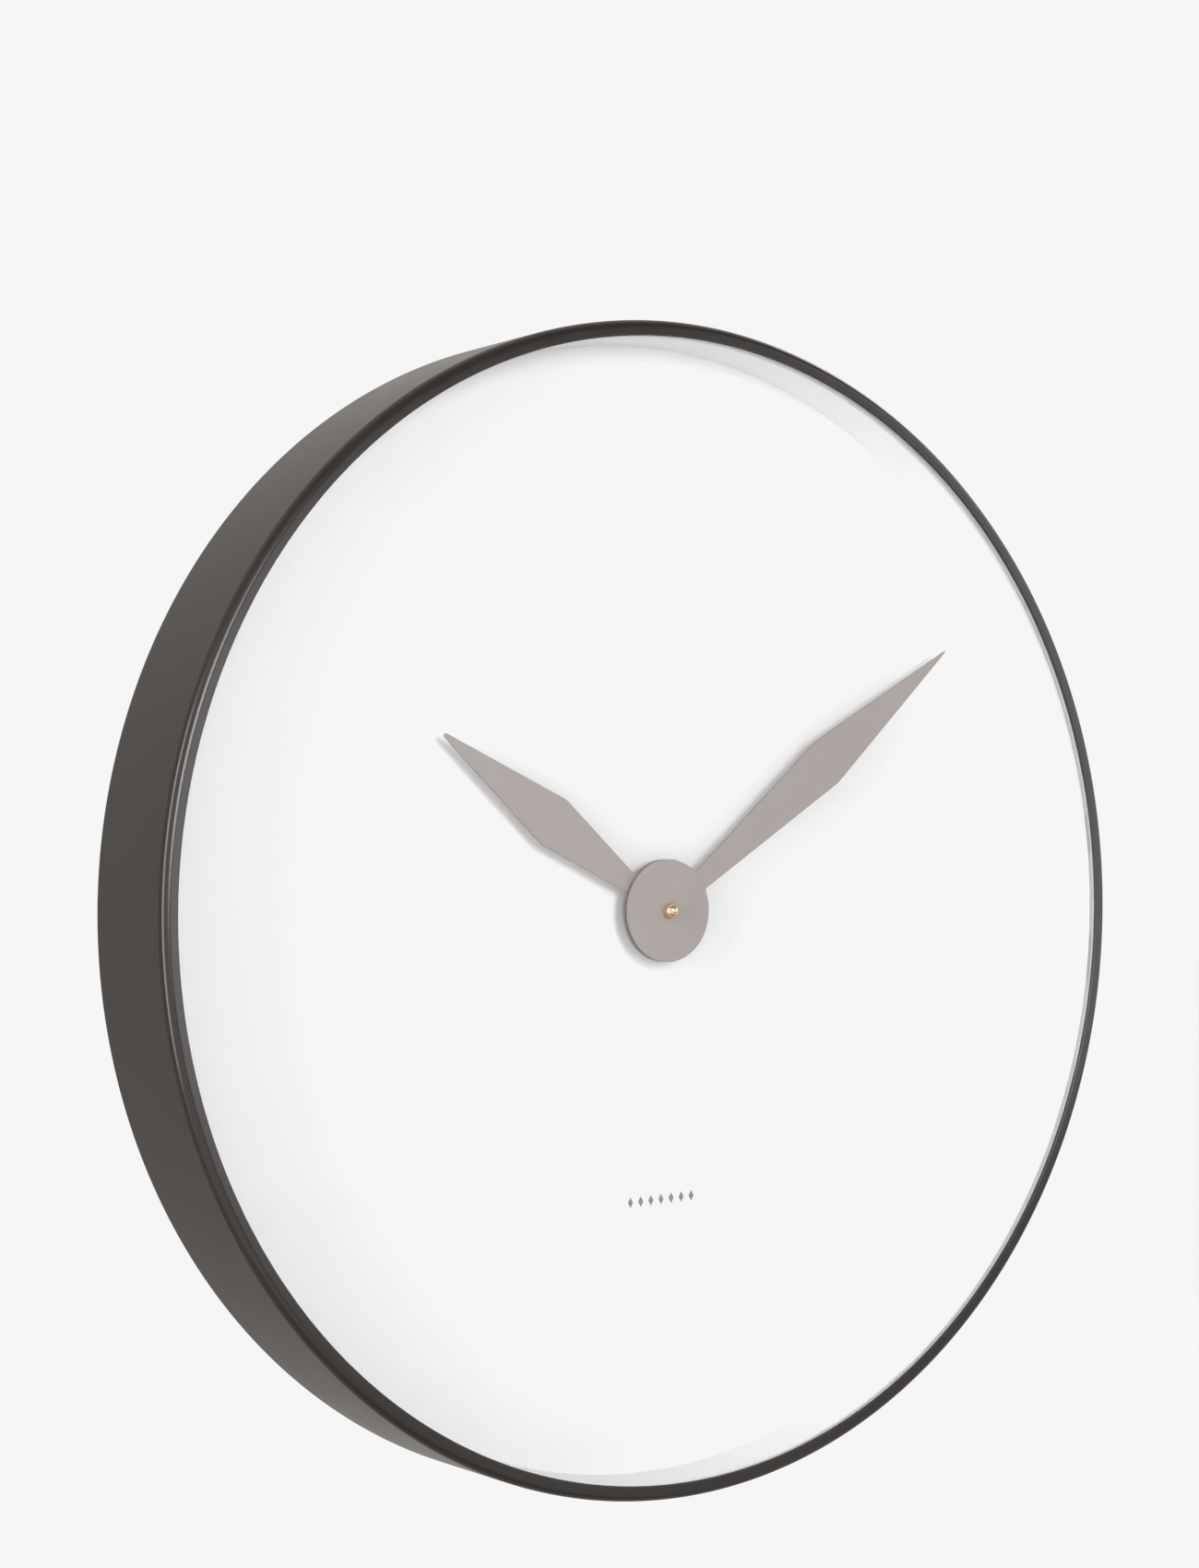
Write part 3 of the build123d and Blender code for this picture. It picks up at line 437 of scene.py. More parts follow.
def moulded(name, colour, low, high, grain, height, drift=1.08):
    """Moulded plastic: a fine spark-eroded grain and slow drifts of colour and gloss."""
    made = Finish(name, colour, (low + high) / 2)
    made.mottle(made.noise(25 * MM), scaled(colour, drift))
    made.sheen_of(made.noise(4 * MM, 4), low, high)
    made.bumped(made.pits(grain), height)
    return made.bumped(made.noise(grain / 2), height / 2)


def dial_paper():
    """Matte white dial with a barely visible tooth."""
    made = Finish("dial_white", (0.9, 0.9, 0.905), 0.8)
    made.mottle(made.noise(90 * MM, 2), (0.91, 0.91, 0.91))
    made.mottle(made.noise(0.5 * MM, 4), (0.895, 0.895, 0.9), 0.5)
    made.sheen_of(made.noise(5 * MM), 0.74, 0.88)
    return made.bumped(made.noise(0.35 * MM, 3), 0.004 * MM)


def hand_paint():
    """Warm grey satin paint on sheet metal."""
    made = Finish("hand_taupe", (0.308, 0.264, 0.243), 0.5)
    made.mottle(made.noise(18 * MM), (0.318, 0.272, 0.251))
    made.mottle(made.noise(0.4 * MM), (0.295, 0.253, 0.234), 0.6)
    made.sheen_of(made.noise(3 * MM, 4), 0.42, 0.56)
    return made.bumped(made.noise(0.3 * MM), 0.005 * MM)


def cut_edge_painted_shade():
    """The hands' cut edges in dark brown, far darker than the faces: painted shade for the dark
    gap between the two hand discs.
    """
    made = Finish("hand_edge_painted_shade", (0.09, 0.072, 0.06), 0.6)
    made.mottle(made.noise(1.5 * MM, 4), (0.13, 0.105, 0.09))
    made.sheen_of(made.noise(0.4 * MM), 0.5, 0.7)
    return made.bumped(made.noise(0.12 * MM, 2, (1, 6, 1)), 0.01 * MM)


def hardboard():
    """Black hardboard: pressed fibres over a faint screen pattern."""
    made = Finish("board_black", (0.03, 0.027, 0.024), 0.75)
    made.mottle(made.noise(3 * MM, 5, (1, 1, 0.25)), (0.055, 0.047, 0.04))
    made.mottle(made.noise(0.9 * MM, 4, (1, 1, 0.2)), (0.06, 0.052, 0.045), 0.45)
    made.mottle(made.noise(40 * MM), (0.022, 0.02, 0.019), 0.7)
    made.sheen_of(made.noise(8 * MM, 4), 0.62, 0.9)
    for direction in ("X", "Z"):
        made.bumped(made.waves(direction, 0.05 / MM, 0.6), 0.05 * MM, 0.6)
    return made.bumped(made.noise(1.2 * MM, 5, (1, 1, 0.3)), 0.06 * MM)


def zinc(name):
    """Bright zinc plate: rolled lines, a faint blue and straw tint."""
    made = Finish(name, (0.62, 0.63, 0.65), 0.35, Metallic=1.0)
    made.mottle(made.noise(7 * MM), (0.68, 0.65, 0.56))
    made.mottle(made.noise(2 * MM), (0.5, 0.52, 0.56), 0.5)
    made.sheen_of(made.noise(0.5 * MM, 4, (12, 1, 1)), 0.25, 0.5)
    return made.bumped(made.noise(0.25 * MM, 3, (14, 1, 1)), 0.008 * MM)


def bare_steel(name, colour, low, high):
    """Drawn or rolled metal with fine lines across it."""
    made = Finish(name, colour, (low + high) / 2, Metallic=1.0)
    made.mottle(made.noise(3 * MM), scaled(colour, 0.8))
    made.sheen_of(made.noise(0.4 * MM, 4, (1, 1, 9)), low, high)
    return made.bumped(made.noise(0.2 * MM, 2, (1, 1, 9)), 0.004 * MM)


def turned_brass(name, low, high):
    """Brass with turning marks about the dial axis."""
    made = Finish(name, (0.87, 0.62, 0.3), (low + high) / 2, Metallic=1.0)
    made.mottle(made.noise(1.5 * MM), (0.8, 0.52, 0.22))
    made.sheen_of(made.noise(0.7 * MM, 4), low, high)
    return made.bumped(made.rings(0.12 * MM), 0.002 * MM)


def mark_ink():
    """Screen-printed ink, a little thin in places."""
    made = Finish("mark_ink", (0.17, 0.12, 0.1), 0.6)
    made.mottle(made.noise(0.4 * MM, 4), (0.3, 0.25, 0.22))
    made.sheen_of(made.noise(0.8 * MM), 0.5, 0.75)
    return made.bumped(made.noise(0.2 * MM), 0.004 * MM)


def copper_winding():
    """Enamelled copper wire, wound in close turns along the coil."""
    enamel = {"Coat_Weight": 0.5, "Coat_Roughness": 0.15}
    made = Finish("coil_copper", (0.6, 0.25, 0.1), 0.3, Metallic=0.8, **enamel)
    made.mottle(made.noise(1.2 * MM), (0.45, 0.16, 0.06))
    made.sheen_of(made.noise(0.5 * MM), 0.2, 0.4)
    return made.bumped(made.waves("Z", 0.9 / MM, 0.3), 0.04 * MM)


def solder_mask():
    """Green solder mask, with copper tracks showing as slightly lighter, raised lines."""
    made = Finish("board_green", (0.02, 0.16, 0.07), 0.3, Coat_Weight=0.4, Coat_Roughness=0.1)
    laid_flat = made.node(
        "ShaderNodeMapping", Vector=made.coordinates, Rotation=(radians(90), 0, 0),
    ).outputs["Vector"]
    tracks = made.node(
        "ShaderNodeTexBrick", Vector=laid_flat, Scale=0.4 / MM, Mortar_Size=0.06,
        Color1=(0, 0, 0, 1), Color2=(0, 0, 0, 1), Mortar=(1, 1, 1, 1),
    ).outputs["Color"]
    made.mottle(tracks, (0.05, 0.3, 0.13))
    made.sheen_of(made.noise(1 * MM), 0.22, 0.4)
    return made.bumped(tracks, 0.03 * MM)


def cell_jacket():
    """Sleeved cell: dark blue, with a copper-coloured positive end and a thin pale band."""
    made = Finish("cell_jacket", (0.012, 0.035, 0.11), 0.25, Coat_Weight=0.6, Coat_Roughness=0.06)
    made.mottle(made.noise(9 * MM), (0.016, 0.045, 0.13))
    pale_band, copper = (0.62, 0.64, 0.67), (0.5, 0.26, 0.1)
    for start, colour in ((BAND_AT, pale_band), (BAND_AT + BAND_WIDTH, copper)):
        made.blend(made.along("X", start, start + BAND_FADE), colour)
    made.sheen_of(made.noise(6 * MM), 0.18, 0.32)
    return made.bumped(made.noise(5 * MM, 2, (0.2, 1, 1)), 0.05 * MM)


def ground_edge():
    """The ground edge of the glass: frosted, faintly green."""
    made = Finish("glass_edge", (0.82, 0.86, 0.84), 0.6)
    made.mottle(made.noise(0.3 * MM), (0.78, 0.83, 0.81))
    made.sheen_of(made.noise(0.2 * MM), 0.5, 0.7)
    return made.bumped(made.noise(0.15 * MM), 0.01 * MM)


def silicone_painted_shade():
    """Soft channel, white next to the white wall and darkening to grey towards the dark lip:
    painted shade from the overhanging lip.
    """
    made = Finish("gasket_rubber", (0.86, 0.86, 0.87), 0.5)
    # Painted shade: grey towards the lip, standing in for the shade under the overhanging lip
    made.blend(made.along("Y", GASKET_SHADE_START_Y, GASKET_SHADE_FULL_Y), (0.3, 0.3, 0.31))
    made.mottle(made.noise(2 * MM), (0.5, 0.5, 0.51), 0.15)
    made.sheen_of(made.noise(0.6 * MM), 0.45, 0.65)
    return made.bumped(made.noise(0.15 * MM), 0.01 * MM)


# A moulded finish has a colour, the range of its roughness, the size and height of its grain
# and, where it isn't the usual one, how far its colour drifts.
FINISHES = {made.name: made for made in (
    lacquer(),
    clear_glass(),
    silicone_painted_shade(),
    moulded("ring_white", (0.86, 0.855, 0.86), 0.4, 0.55, 0.5 * MM, 0.006 * MM, 1.02),
    dial_paper(),
    mark_ink(),
    moulded("spacer_black", (0.02, 0.02, 0.02), 0.5, 0.7, 0.6 * MM, 0.02 * MM),
    hardboard(),
    zinc("screw_zinc"),
    zinc("hanger_zinc"),
    moulded("movement_black", (0.018, 0.018, 0.019), 0.42, 0.6, 0.5 * MM, 0.02 * MM, 1.3),
    moulded("bridge_natural", (0.75, 0.73, 0.66), 0.35, 0.5, 0.7 * MM, 0.01 * MM),
    turned_brass("brass", 0.22, 0.4),
    turned_brass("ball_brass", 0.07, 0.16),
    bare_steel("steel", (0.58, 0.57, 0.56), 0.3, 0.45),
    rubber("washer_rubber", (0.015, 0.015, 0.015)),
    hand_paint(),
    moulded("gear_white", (0.8, 0.79, 0.74), 0.35, 0.5, 0.6 * MM, 0.008 * MM),
    moulded("gear_black", (0.03, 0.03, 0.03), 0.38, 0.52, 0.6 * MM, 0.012 * MM),
    bare_steel("magnet_grey", (0.16, 0.16, 0.17), 0.5, 0.7),
    bare_steel("stator_iron", (0.42, 0.42, 0.43), 0.35, 0.55),
    copper_winding(),
    solder_mask(),
    moulded("chip_black", (0.012, 0.012, 0.012), 0.45, 0.65, 0.3 * MM, 0.008 * MM),
    bare_steel("crystal_can", (0.7, 0.7, 0.69), 0.15, 0.3),
    cell_jacket(),
    bare_steel("contact_steel", (0.72, 0.7, 0.64), 0.18, 0.35),
)}
HAND_EDGE_SHADE = cut_edge_painted_shade()

# ---- Every CAD node gets its finish; the pieces below then take some nodes' places ------
SLOT_OF = {s["node"]: s["material_slot"] for s in record["subparts"]}
BODY_OF = {n: body for body, members in record["behaviour"]["bodies"].items() for n in members}


def finish_as(obj, node):
    """Gives an object the one finish that the record names for a CAD node."""
    obj.data.materials.clear()
    obj.data.materials.append(FINISHES[SLOT_OF[node]].material)


def round_edges(obj, width):
    """Slightly rounded edges on a CAD node, whose faces don't share their vertices."""
    weld = obj.modifiers.new("weld", "WELD")
    weld.merge_threshold = SAME_CAD_PLACE
    bevel = obj.modifiers.new("edges", "BEVEL")
    bevel.width = width
    bevel.segments = 2
    bevel.limit_method = "ANGLE"
    bevel.angle_limit = radians(BEVEL_FROM)
    bevel.harden_normals = True


def stands_for(obj, node):
    """obj takes a CAD node's place: its body, its finish and its slot in the record."""
    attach(obj, BODY_OF[node])
    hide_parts(node)
    finish_as(obj, node)


for node, obj in nodes.items():
    finish_as(obj, node)
for node, width in NODE_EDGES.items():
    round_edges(nodes[node], width)


# ---- Case, glass and dial --------------------------------------------------------------
def case_drum():
    """Spun drum: sharp rolled lip, round shoulder, and tabs folded in at the back."""
    outer, back, front = reach("case_shell")
    inner = outer - SHEET
    profile = rounded([
        (outer, -back, RAW_EDGE_R),
        (outer, -front, SHOULDER_R),
        (outer - LIP_WIDTH, -front, LIP_EDGE_R),
        (outer - LIP_WIDTH, SHEET - front, LIP_EDGE_R),
        (inner, SHEET - front, SHOULDER_R - SHEET),
        (inner, -back, RAW_EDGE_R),
    ], steps=10)
    bm = lathe(bmesh.new(), profile)
    for k in range(TAB_COUNT):
        tab = folded_tab(inner + SHEET / 2)
        tab.transform(Matrix.Rotation(2 * pi * k / TAB_COUNT, 4, "Y"))
        bm.from_mesh(tab)
    stands_for(mesh_object("case_drum", bm), "case_shell")


def folded_tab(root):
    """One tab at 12 o'clock, from the wall at the radius root to its rounded inner end."""
    outline = rounded([
        (-TAB_HALF_WIDTH, root, 0),
        (-TAB_HALF_WIDTH, TAB_INNER_R, TAB_CORNER_R),
        (TAB_HALF_WIDTH, TAB_INNER_R, TAB_CORNER_R),
        (TAB_HALF_WIDTH, root, 0),
    ])
    return sheet_mesh(outline, [], TAB_DEPTH, TAB_DEPTH + SHEET, TAB_EDGE_R)


def glass():
    """Flat disc of glass whose edge is ground."""
    outer, back, front = reach("lens")
    piece = turned("glass", [
        (0, -front, 0),
        (outer, -front, GLASS_EDGE_R),
        (outer, -back, GLASS_EDGE_R),
        (0, -back, 0),
    ])
    stands_for(piece, "lens")
    piece.data.materials.append(ground_edge().material)
    for face in piece.data.polygons:
        face.material_index = int(hypot(face.center.x, face.center.z) > outer - GLASS_EDGE_R)


def glass_gasket():
    """Soft channel round the edge of the glass."""
    outer, back, front = reach("lens_gasket")
    glass_r, glass_back, glass_front = reach("lens")
    inner = outer - GASKET_LAP
    groove = glass_r + GASKET_PLAY
    piece = turned("glass_gasket", [
        (inner, -front, GASKET_EDGE_R),
        (outer - GASKET_CHAMFER, -front, GASKET_EDGE_R),
        (outer, GASKET_CHAMFER - front, GASKET_EDGE_R),
        (outer, -back, GASKET_EDGE_R),
        (inner, -back, GASKET_EDGE_R),
        (inner, -glass_back, GASKET_EDGE_R),
        (groove, -glass_back, 0),
        (groove, -glass_front, 0),
        (inner, -glass_front, GASKET_EDGE_R),
    ], steps=3)
    stands_for(piece, "lens_gasket")


def inner_wall():
    """White wall between glass and dial, with a flange at each end."""
    flange_r, back, front = reach("inner_ring")
    outer = RING_FRONT_R + RING_WALL
    piece = turned("inner_wall", [
        (RING_BACK_R, -back, RING_EDGE_R),
        (flange_r, -back, RING_EDGE_R),
        (flange_r, -back - RING_FLANGE, RING_EDGE_R),
        (outer, -back - RING_FLANGE, 0),
        (outer, RING_FLANGE - front, 0),
        (flange_r, RING_FLANGE - front, RING_EDGE_R),
        (flange_r, -front, RING_EDGE_R),
        (RING_FRONT_R, -front, RING_EDGE_R),
    ], steps=3)
    stands_for(piece, "inner_ring")


def dial():
    """Flat disc with a hole for the bush."""
    outer, back, front = reach("dial_plate")
    piece = turned("dial", [
        (DIAL_HOLE_R, -front, DIAL_EDGE_R),
        (outer, -front, DIAL_EDGE_R),
        (outer, -back, DIAL_EDGE_R),
        (DIAL_HOLE_R, -back, DIAL_EDGE_R),
    ], steps=3)
    stands_for(piece, "dial_plate")


# ---- Hands -----------------------------------------------------------------------------
def hand_outline(root_half, wide_half, wide_at, tip_at, tip_r):
    """A kite that grows out of a disc, upright, with a rounded tip and filleted neck."""
    slope = (wide_half - root_half) / wide_at
    a, b, c = 1 + slope ** 2, 2 * slope * root_half, root_half ** 2 - HUB_DISC_R ** 2
    neck_z = (-b + sqrt(b * b - 4 * a * c)) / (2 * a)
    neck_x = root_half + slope * neck_z
    start = degrees(atan2(neck_z, neck_x))
    gap = degrees(NECK_R / HUB_DISC_R)
    disc = circle(HUB_DISC_R, (0, 0), DISC_SEGMENTS, 180 - start + gap, 360 + start - gap)
    apex = tip_at + tip_r * (hypot(wide_half, tip_at - wide_at) / wide_half - 1)
    blade = [
        (neck_x + slope * NECK_R, neck_z + NECK_R, 0),
        (wide_half, wide_at, 0),
        (0, apex, tip_r),
        (-wide_half, wide_at, 0),
        (-neck_x - slope * NECK_R, neck_z + NECK_R, 0),
    ]
    return disc + rounded(blade)


def hand(name, node, side, hole_r, root_half, wide_half, wide_at, tip_r):
    """A painted sheet hand on a large round disc, at the angle that its node has."""
    angle, length = tip_of(node, side)
    low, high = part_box(node)
    outline = hand_outline(root_half, wide_half, wide_at, length, tip_r)
    piece = plate(name, outline, [circle(hole_r)], -high.y, -low.y, HAND_EDGE_R, angle)
    stands_for(piece, node)
    # The cut edges take the dark brown finish, painted shade for the gap between the hand discs
    piece.data.materials.append(HAND_EDGE_SHADE.material)
    for face in piece.data.polygons:
        face.material_index = int(abs(face.normal.y) < CUT_EDGE_FACING)


def ball_nut():
    """Turned ball on the end of the minute shaft, flat where it meets the hand."""
    low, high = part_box("cap_nut")
    radius = high.z
    middle = low.y + radius
    flat = acos((high.y - middle) / radius)
    profile = [(0, high.y)]
    for k in range(BALL_STEPS):
        turn = flat + (pi - flat) * k / BALL_STEPS
        profile.append((radius * sin(turn), middle + radius * cos(turn)))
    profile.append((0, low.y))
    stands_for(mesh_object("ball_nut", lathe(bmesh.new(), profile, FINE_SEGMENTS)), "cap_nut")


# ---- Back of the clock -----------------------------------------------------------------
def middle_of(node):
    low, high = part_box(node)
    return (low + high) / 2


def rectangle(low, high, corner):
    """A rounded rectangle between two (x, z) corners."""
    (x0, z0), (x1, z1) = low, high
    places = ((x0, z0), (x1, z0), (x1, z1), (x0, z1))
    return rounded([(x, z, corner) for x, z in places], steps=10)


def screw_places():
    """(x, z) of each screw, clockwise from the first."""
    for k in range(SCREW_COUNT):
        a = radians(90 - SCREW_FIRST - 360 * k / SCREW_COUNT)
        yield SCREW_CIRCLE_R * cos(a), SCREW_CIRCLE_R * sin(a)


def rivet_places():
    """(x, z) of each rivet, level with the middle of the hanger."""
    for side in (-1, 1):
        yield side * RIVET_SPREAD, middle_of("hanger_plate").z


def back_panel():
    """Round panel with a window for the movement and room behind the keyhole."""
    outer, back, front = reach("rear_board")
    window = rectangle((-WINDOW_HALF, -WINDOW_HALF), (WINDOW_HALF, WINDOW_HALF), WINDOW_CORNER_R)
    room = circle(KEYHOLE_ROOM_R, (0, KEYHOLE_SEAT), SLOT_SEGMENTS, 0, 180)
    room += circle(KEYHOLE_ROOM_R, (0, KEYHOLE_ENTRY), SLOT_SEGMENTS, 180, 360)
    holes = [window, room]
    holes += [circle(SCREW_SHANK_R, place, HOLE_SEGMENTS) for place in screw_places()]
    holes += [circle(RIVET_R, place, HOLE_SEGMENTS) for place in rivet_places()]
    outline = circle(outer, count=SEGMENTS)
    piece = plate("back_panel", outline, holes, back, front, BOARD_EDGE_R)
    stands_for(piece, "rear_board")


def hanger():
    """Pressed steel plate with a keyhole, riveted to the panel."""
    low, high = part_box("hanger_plate")
    outline = rectangle((low.x, low.z), (high.x, high.z), HANGER_CORNER_R)
    gap = degrees(atan2(KEYHOLE_SLOT_HALF, sqrt(KEYHOLE_R ** 2 - KEYHOLE_SLOT_HALF ** 2)))
    neck = KEYHOLE_ENTRY + KEYHOLE_R * cos(radians(gap))
    keyhole = circle(KEYHOLE_SLOT_HALF, (0, KEYHOLE_SEAT), SLOT_SEGMENTS, 0, 180)
    keyhole.append(Vector((-KEYHOLE_SLOT_HALF, KEYHOLE_SEAT)))
    keyhole += circle(KEYHOLE_R, (0, KEYHOLE_ENTRY), KEYHOLE_SEGMENTS, 90 + gap, 450 - gap)
    keyhole.append(Vector((KEYHOLE_SLOT_HALF, neck)))
    holes = [keyhole] + [circle(RIVET_R, place, HOLE_SEGMENTS) for place in rivet_places()]
    piece = plate("hanger", outline, holes, -high.y, -low.y, HANGER_EDGE_R)
    stands_for(piece, "hanger_plate")


def cross(half_length, half_width):
    """Outline of a cross-shaped driver recess."""
    a, b = half_length, half_width
    points = (
        (a, b), (b, b), (b, a), (-b, a), (-b, b), (-a, b),
        (-a, -b), (-b, -b), (-b, -a), (b, -a), (b, -b), (a, -b),
    )
    return [Vector(point) for point in points]


def panel_screws():
    """Pan-head screws with a cross recess, each turned differently."""
    low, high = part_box("rear_board_screws")
    floor = SCREW_RECESS - high.y
    seat = -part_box("rear_board")[1].y
    tip = -low.y
    rim = circle(SCREW_HEAD_R, count=SMALL_SEGMENTS)
    recess = cross(RECESS_HALF_LENGTH, RECESS_HALF_WIDTH)
    below_recess = rounded([
        (0, -floor, 0),
        (SCREW_HEAD_R, -floor, 0),
        (SCREW_HEAD_R, -seat, SCREW_SEAT_EDGE_R),
        (SCREW_SHANK_R, -seat, 0),
        (SCREW_SHANK_R, -tip, SCREW_POINT_R),
        (0, -tip, 0),
    ], steps=3)
    bm = bmesh.new()
    for k, (x, z) in enumerate(screw_places()):
        centre = Vector((x, 0, z))
        head = sheet_mesh(rim, [recess], -high.y, floor, SCREW_HEAD_EDGE_R)
        turn = Matrix.Rotation(radians(SCREW_TURN * k), 4, "Y")
        head.transform(Matrix.Translation(centre) @ turn)
        bm.from_mesh(head)
        lathe(bm, below_recess, SMALL_SEGMENTS, centre=centre)
    stands_for(mesh_object("panel_screws", bm), "rear_board_screws")


def rivets():
    """Two domed rivets through plate and panel."""
    low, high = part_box("hanger_rivets")
    back, front = high.y, low.y
    plate_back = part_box("hanger_plate")[1].y
    board_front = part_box("rear_board")[0].y
    bm = bmesh.new()
    profile = rounded([
        (0, back, 0),
        (RIVET_CROWN_R, back, RIVET_DOME_R),
        (RIVET_HEAD_R, plate_back, 0),
        (RIVET_R, plate_back, 0),
        (RIVET_R, board_front, 0),
        (RIVET_HEAD_R, board_front, RIVET_FOOT_BACK_R),
        (RIVET_HEAD_R, front, RIVET_FOOT_R),
        (0, front, 0),
    ])
    for x, z in rivet_places():
        lathe(bm, profile, SMALL_SEGMENTS, centre=Vector((x, 0, z)))
    stands_for(mesh_object("rivets", bm), "hanger_rivets")


# ---- Battery ---------------------------------------------------------------------------
def cell():
    """AA cell whose sleeve laps over both ends, and its positive cap."""
    low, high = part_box("battery_cell")
    middle = middle_of("battery_cell")
    centre = Vector((0, middle.y, middle.z))
    radius = (high.z - low.z) / 2
    lap = radius - SLEEVE_LAP
    jacket = turned("cell", [
        (0, low.x + CELL_END_DISH, 0),
        (lap, low.x + CELL_END_DISH, 0),
        (lap, low.x, SLEEVE_LAP_R),
        (radius, low.x, CELL_EDGE_R),
        (radius, high.x, CELL_EDGE_R),
        (lap, high.x, SLEEVE_LAP_R),
        (lap, high.x - CELL_END_DISH, 0),
        (0, high.x - CELL_END_DISH, 0),
    ], FINE_SEGMENTS, about="X", centre=centre)
    stands_for(jacket, "battery_cell")
    jacket.data.materials.append(FINISHES["contact_steel"].material)
    for face in jacket.data.polygons:
        off_axis = hypot(face.center.y - centre.y, face.center.z - centre.z)
        face.material_index = int(off_axis < lap - SLEEVE_LAP_R / 2)
    low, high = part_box("battery_positive_cap")
    nub_r = (high.z - low.z) / 2
    nub = turned("cell_cap", [
        (0, low.x, 0),
        (nub_r, low.x, 0),
        (nub_r, high.x, CELL_CAP_R),
        (0, high.x, 0),
    ], SMALL_SEGMENTS, about="X", centre=centre)
    stands_for(nub, "battery_positive_cap")


case_drum()
glass()
glass_gasket()
inner_wall()
dial()
hand("hour_blade", "hour_hand", "left", HOUR_HOLE_R,
     HOUR_ROOT_HALF, HOUR_WIDE_HALF, HOUR_WIDE_AT, HOUR_TIP_R)
hand("minute_blade", "minute_hand", "right", MINUTE_HOLE_R,
     MINUTE_ROOT_HALF, MINUTE_WIDE_HALF, MINUTE_WIDE_AT, MINUTE_TIP_R)
ball_nut()
back_panel()
hanger()
panel_screws()
rivets()
cell()

# ---- Studio: floor, light and camera ---------------------------------------------------
PALE = 0.921
FLOOR_BELOW = 0.62
FLOOR_HALF = 12.0
FLOOR_GREY = (0.1, 0.1, 0.1)
FLOOR_CLOUDS = (0.105, 0.105, 0.105)
FLOOR_CLOUD_SIZE = 0.4
FLOOR_GLOW = 0.88

BLACK = (0, 0, 0)
WHITE = (1, 1, 1)
WARM = (1.06, 1.0, 0.94)
BACK_GLOW = 0.5
BACK_RISE = 0.1
FRONT_GLOOM = 0.19
LEFT_GLOW = 1.2
LOW_BOUNCE = 0.4

# Where a light of the room starts and is full, as x, y or z of the direction it is seen in
FORWARDS = (0.05, -0.35)
LEFTWARDS = (0.1, -0.25)
NEARLY_LEVEL = (0.8, 0.5)
BELOW_LEVEL = (-0.02, -0.25)
NOT_STRAIGHT_DOWN = (-0.85, -0.6)

SOFTBOX_DISTANCE = 2.0

CAMERA_AT = Vector((-0.5857, -0.8006, 0.0359))
CAMERA_YAW = 1.868
CAMERA_PITCH = 0.595
CAMERA_ROLL = 1.332
CAMERA_LENS = 64.57
CAMERA_SENSOR = 36.0
CAMERA_SHIFT = 0.0639

COMBINED_CURVE = 3


def stage_floor():
    """Plain pale floor well under the hanging clock. It neither lights nor shows in it."""
    bm = bmesh.new()
    bmesh.ops.create_grid(bm, x_segments=8, y_segments=8, size=FLOOR_HALF)
    bmesh.ops.translate(bm, verts=bm.verts, vec=(0, 0, -FLOOR_BELOW))
    floor = mesh_object("floor", bm)
    floor.modifiers.clear()
    floor.visible_glossy = False
    floor.visible_diffuse = False
    made = Finish(
        "floor_pale", FLOOR_GREY, 0.9, Specular_IOR_Level=0.0,
        Emission_Color=(*WHITE, 1), Emission_Strength=FLOOR_GLOW,
    )
    made.mottle(made.noise(FLOOR_CLOUD_SIZE), FLOOR_CLOUDS)
    floor.data.materials.append(made.material)


class Sky:
    """World light that depends on the direction alone."""

    def __init__(self):
        self.world = bpy.data.worlds.new("studio")
        self.world.use_nodes = True
        self.tree = self.world.node_tree
        direction = self.tree.nodes.new("ShaderNodeSeparateXYZ")
        place = self.tree.nodes.new("ShaderNodeTexCoord")
        self.tree.links.new(place.outputs["Generated"], direction.inputs[0])
        self.x, self.y, self.z = direction.outputs

    def maths(self, operation, a, b=0.0):
        node = self.tree.nodes.new("ShaderNodeMath")
        node.operation = operation
        for socket, value in zip(node.inputs, (a, b)):
            if isinstance(value, bpy.types.NodeSocket):
                self.tree.links.new(value, socket)
            else:
                socket.default_value = value
        return node.outputs[0]

    def fade(self, value, start, end):
        """0 at start, 1 at end, smooth between them."""
        node = self.tree.nodes.new("ShaderNodeMapRange")
        node.interpolation_type = "SMOOTHSTEP"
        self.tree.links.new(value, node.inputs["Value"])
        node.inputs["From Min"].default_value = start
        node.inputs["From Max"].default_value = end
        return node.outputs["Result"]

    def mix(self, fac, low, high):
        node = self.tree.nodes.new("ShaderNodeMix")
        node.data_type = "RGBA"
        for k, value in ((MIX_FACTOR, fac), (MIX_A, low), (MIX_B, high)):
            if isinstance(value, bpy.types.NodeSocket):
                self.tree.links.new(value, node.inputs[k])
            else:
                node.inputs[k].default_value = (*value, 1)
        return node.outputs[MIX_RESULT]


def studio_world():
    """Warm grey room behind, bright in front to the left, dim to the right, lit from below.

    The camera sees an even pale backdrop in place of it.
    """
    sky = Sky()
    behind = sky.maths("ADD", sky.maths("MULTIPLY", sky.z, BACK_RISE), BACK_GLOW)
    warm = sky.mix(behind, BLACK, WARM)
    level = sky.fade(sky.maths("ABSOLUTE", sky.z), *NEARLY_LEVEL)
    left = sky.maths("MULTIPLY", level, sky.fade(sky.x, *LEFTWARDS))
    ahead = sky.maths("ADD", sky.maths("MULTIPLY", left, LEFT_GLOW), FRONT_GLOOM)
    below = sky.fade(sky.z, *BELOW_LEVEL)
    bounce = sky.maths("MULTIPLY", below, sky.fade(sky.z, *NOT_STRAIGHT_DOWN))
    ahead = sky.maths("ADD", ahead, sky.maths("MULTIPLY", bounce, LOW_BOUNCE))
    room = sky.mix(sky.fade(sky.y, *FORWARDS), warm, sky.mix(ahead, BLACK, WHITE))
    seen = sky.tree.nodes.new("ShaderNodeLightPath").outputs["Is Camera Ray"]
    background = sky.tree.nodes["Background"]
    background.inputs["Strength"].default_value = 1.0
    sky.tree.links.new(sky.mix(seen, room, (PALE, PALE, PALE)), background.inputs["Color"])
    bpy.context.scene.world = sky.world


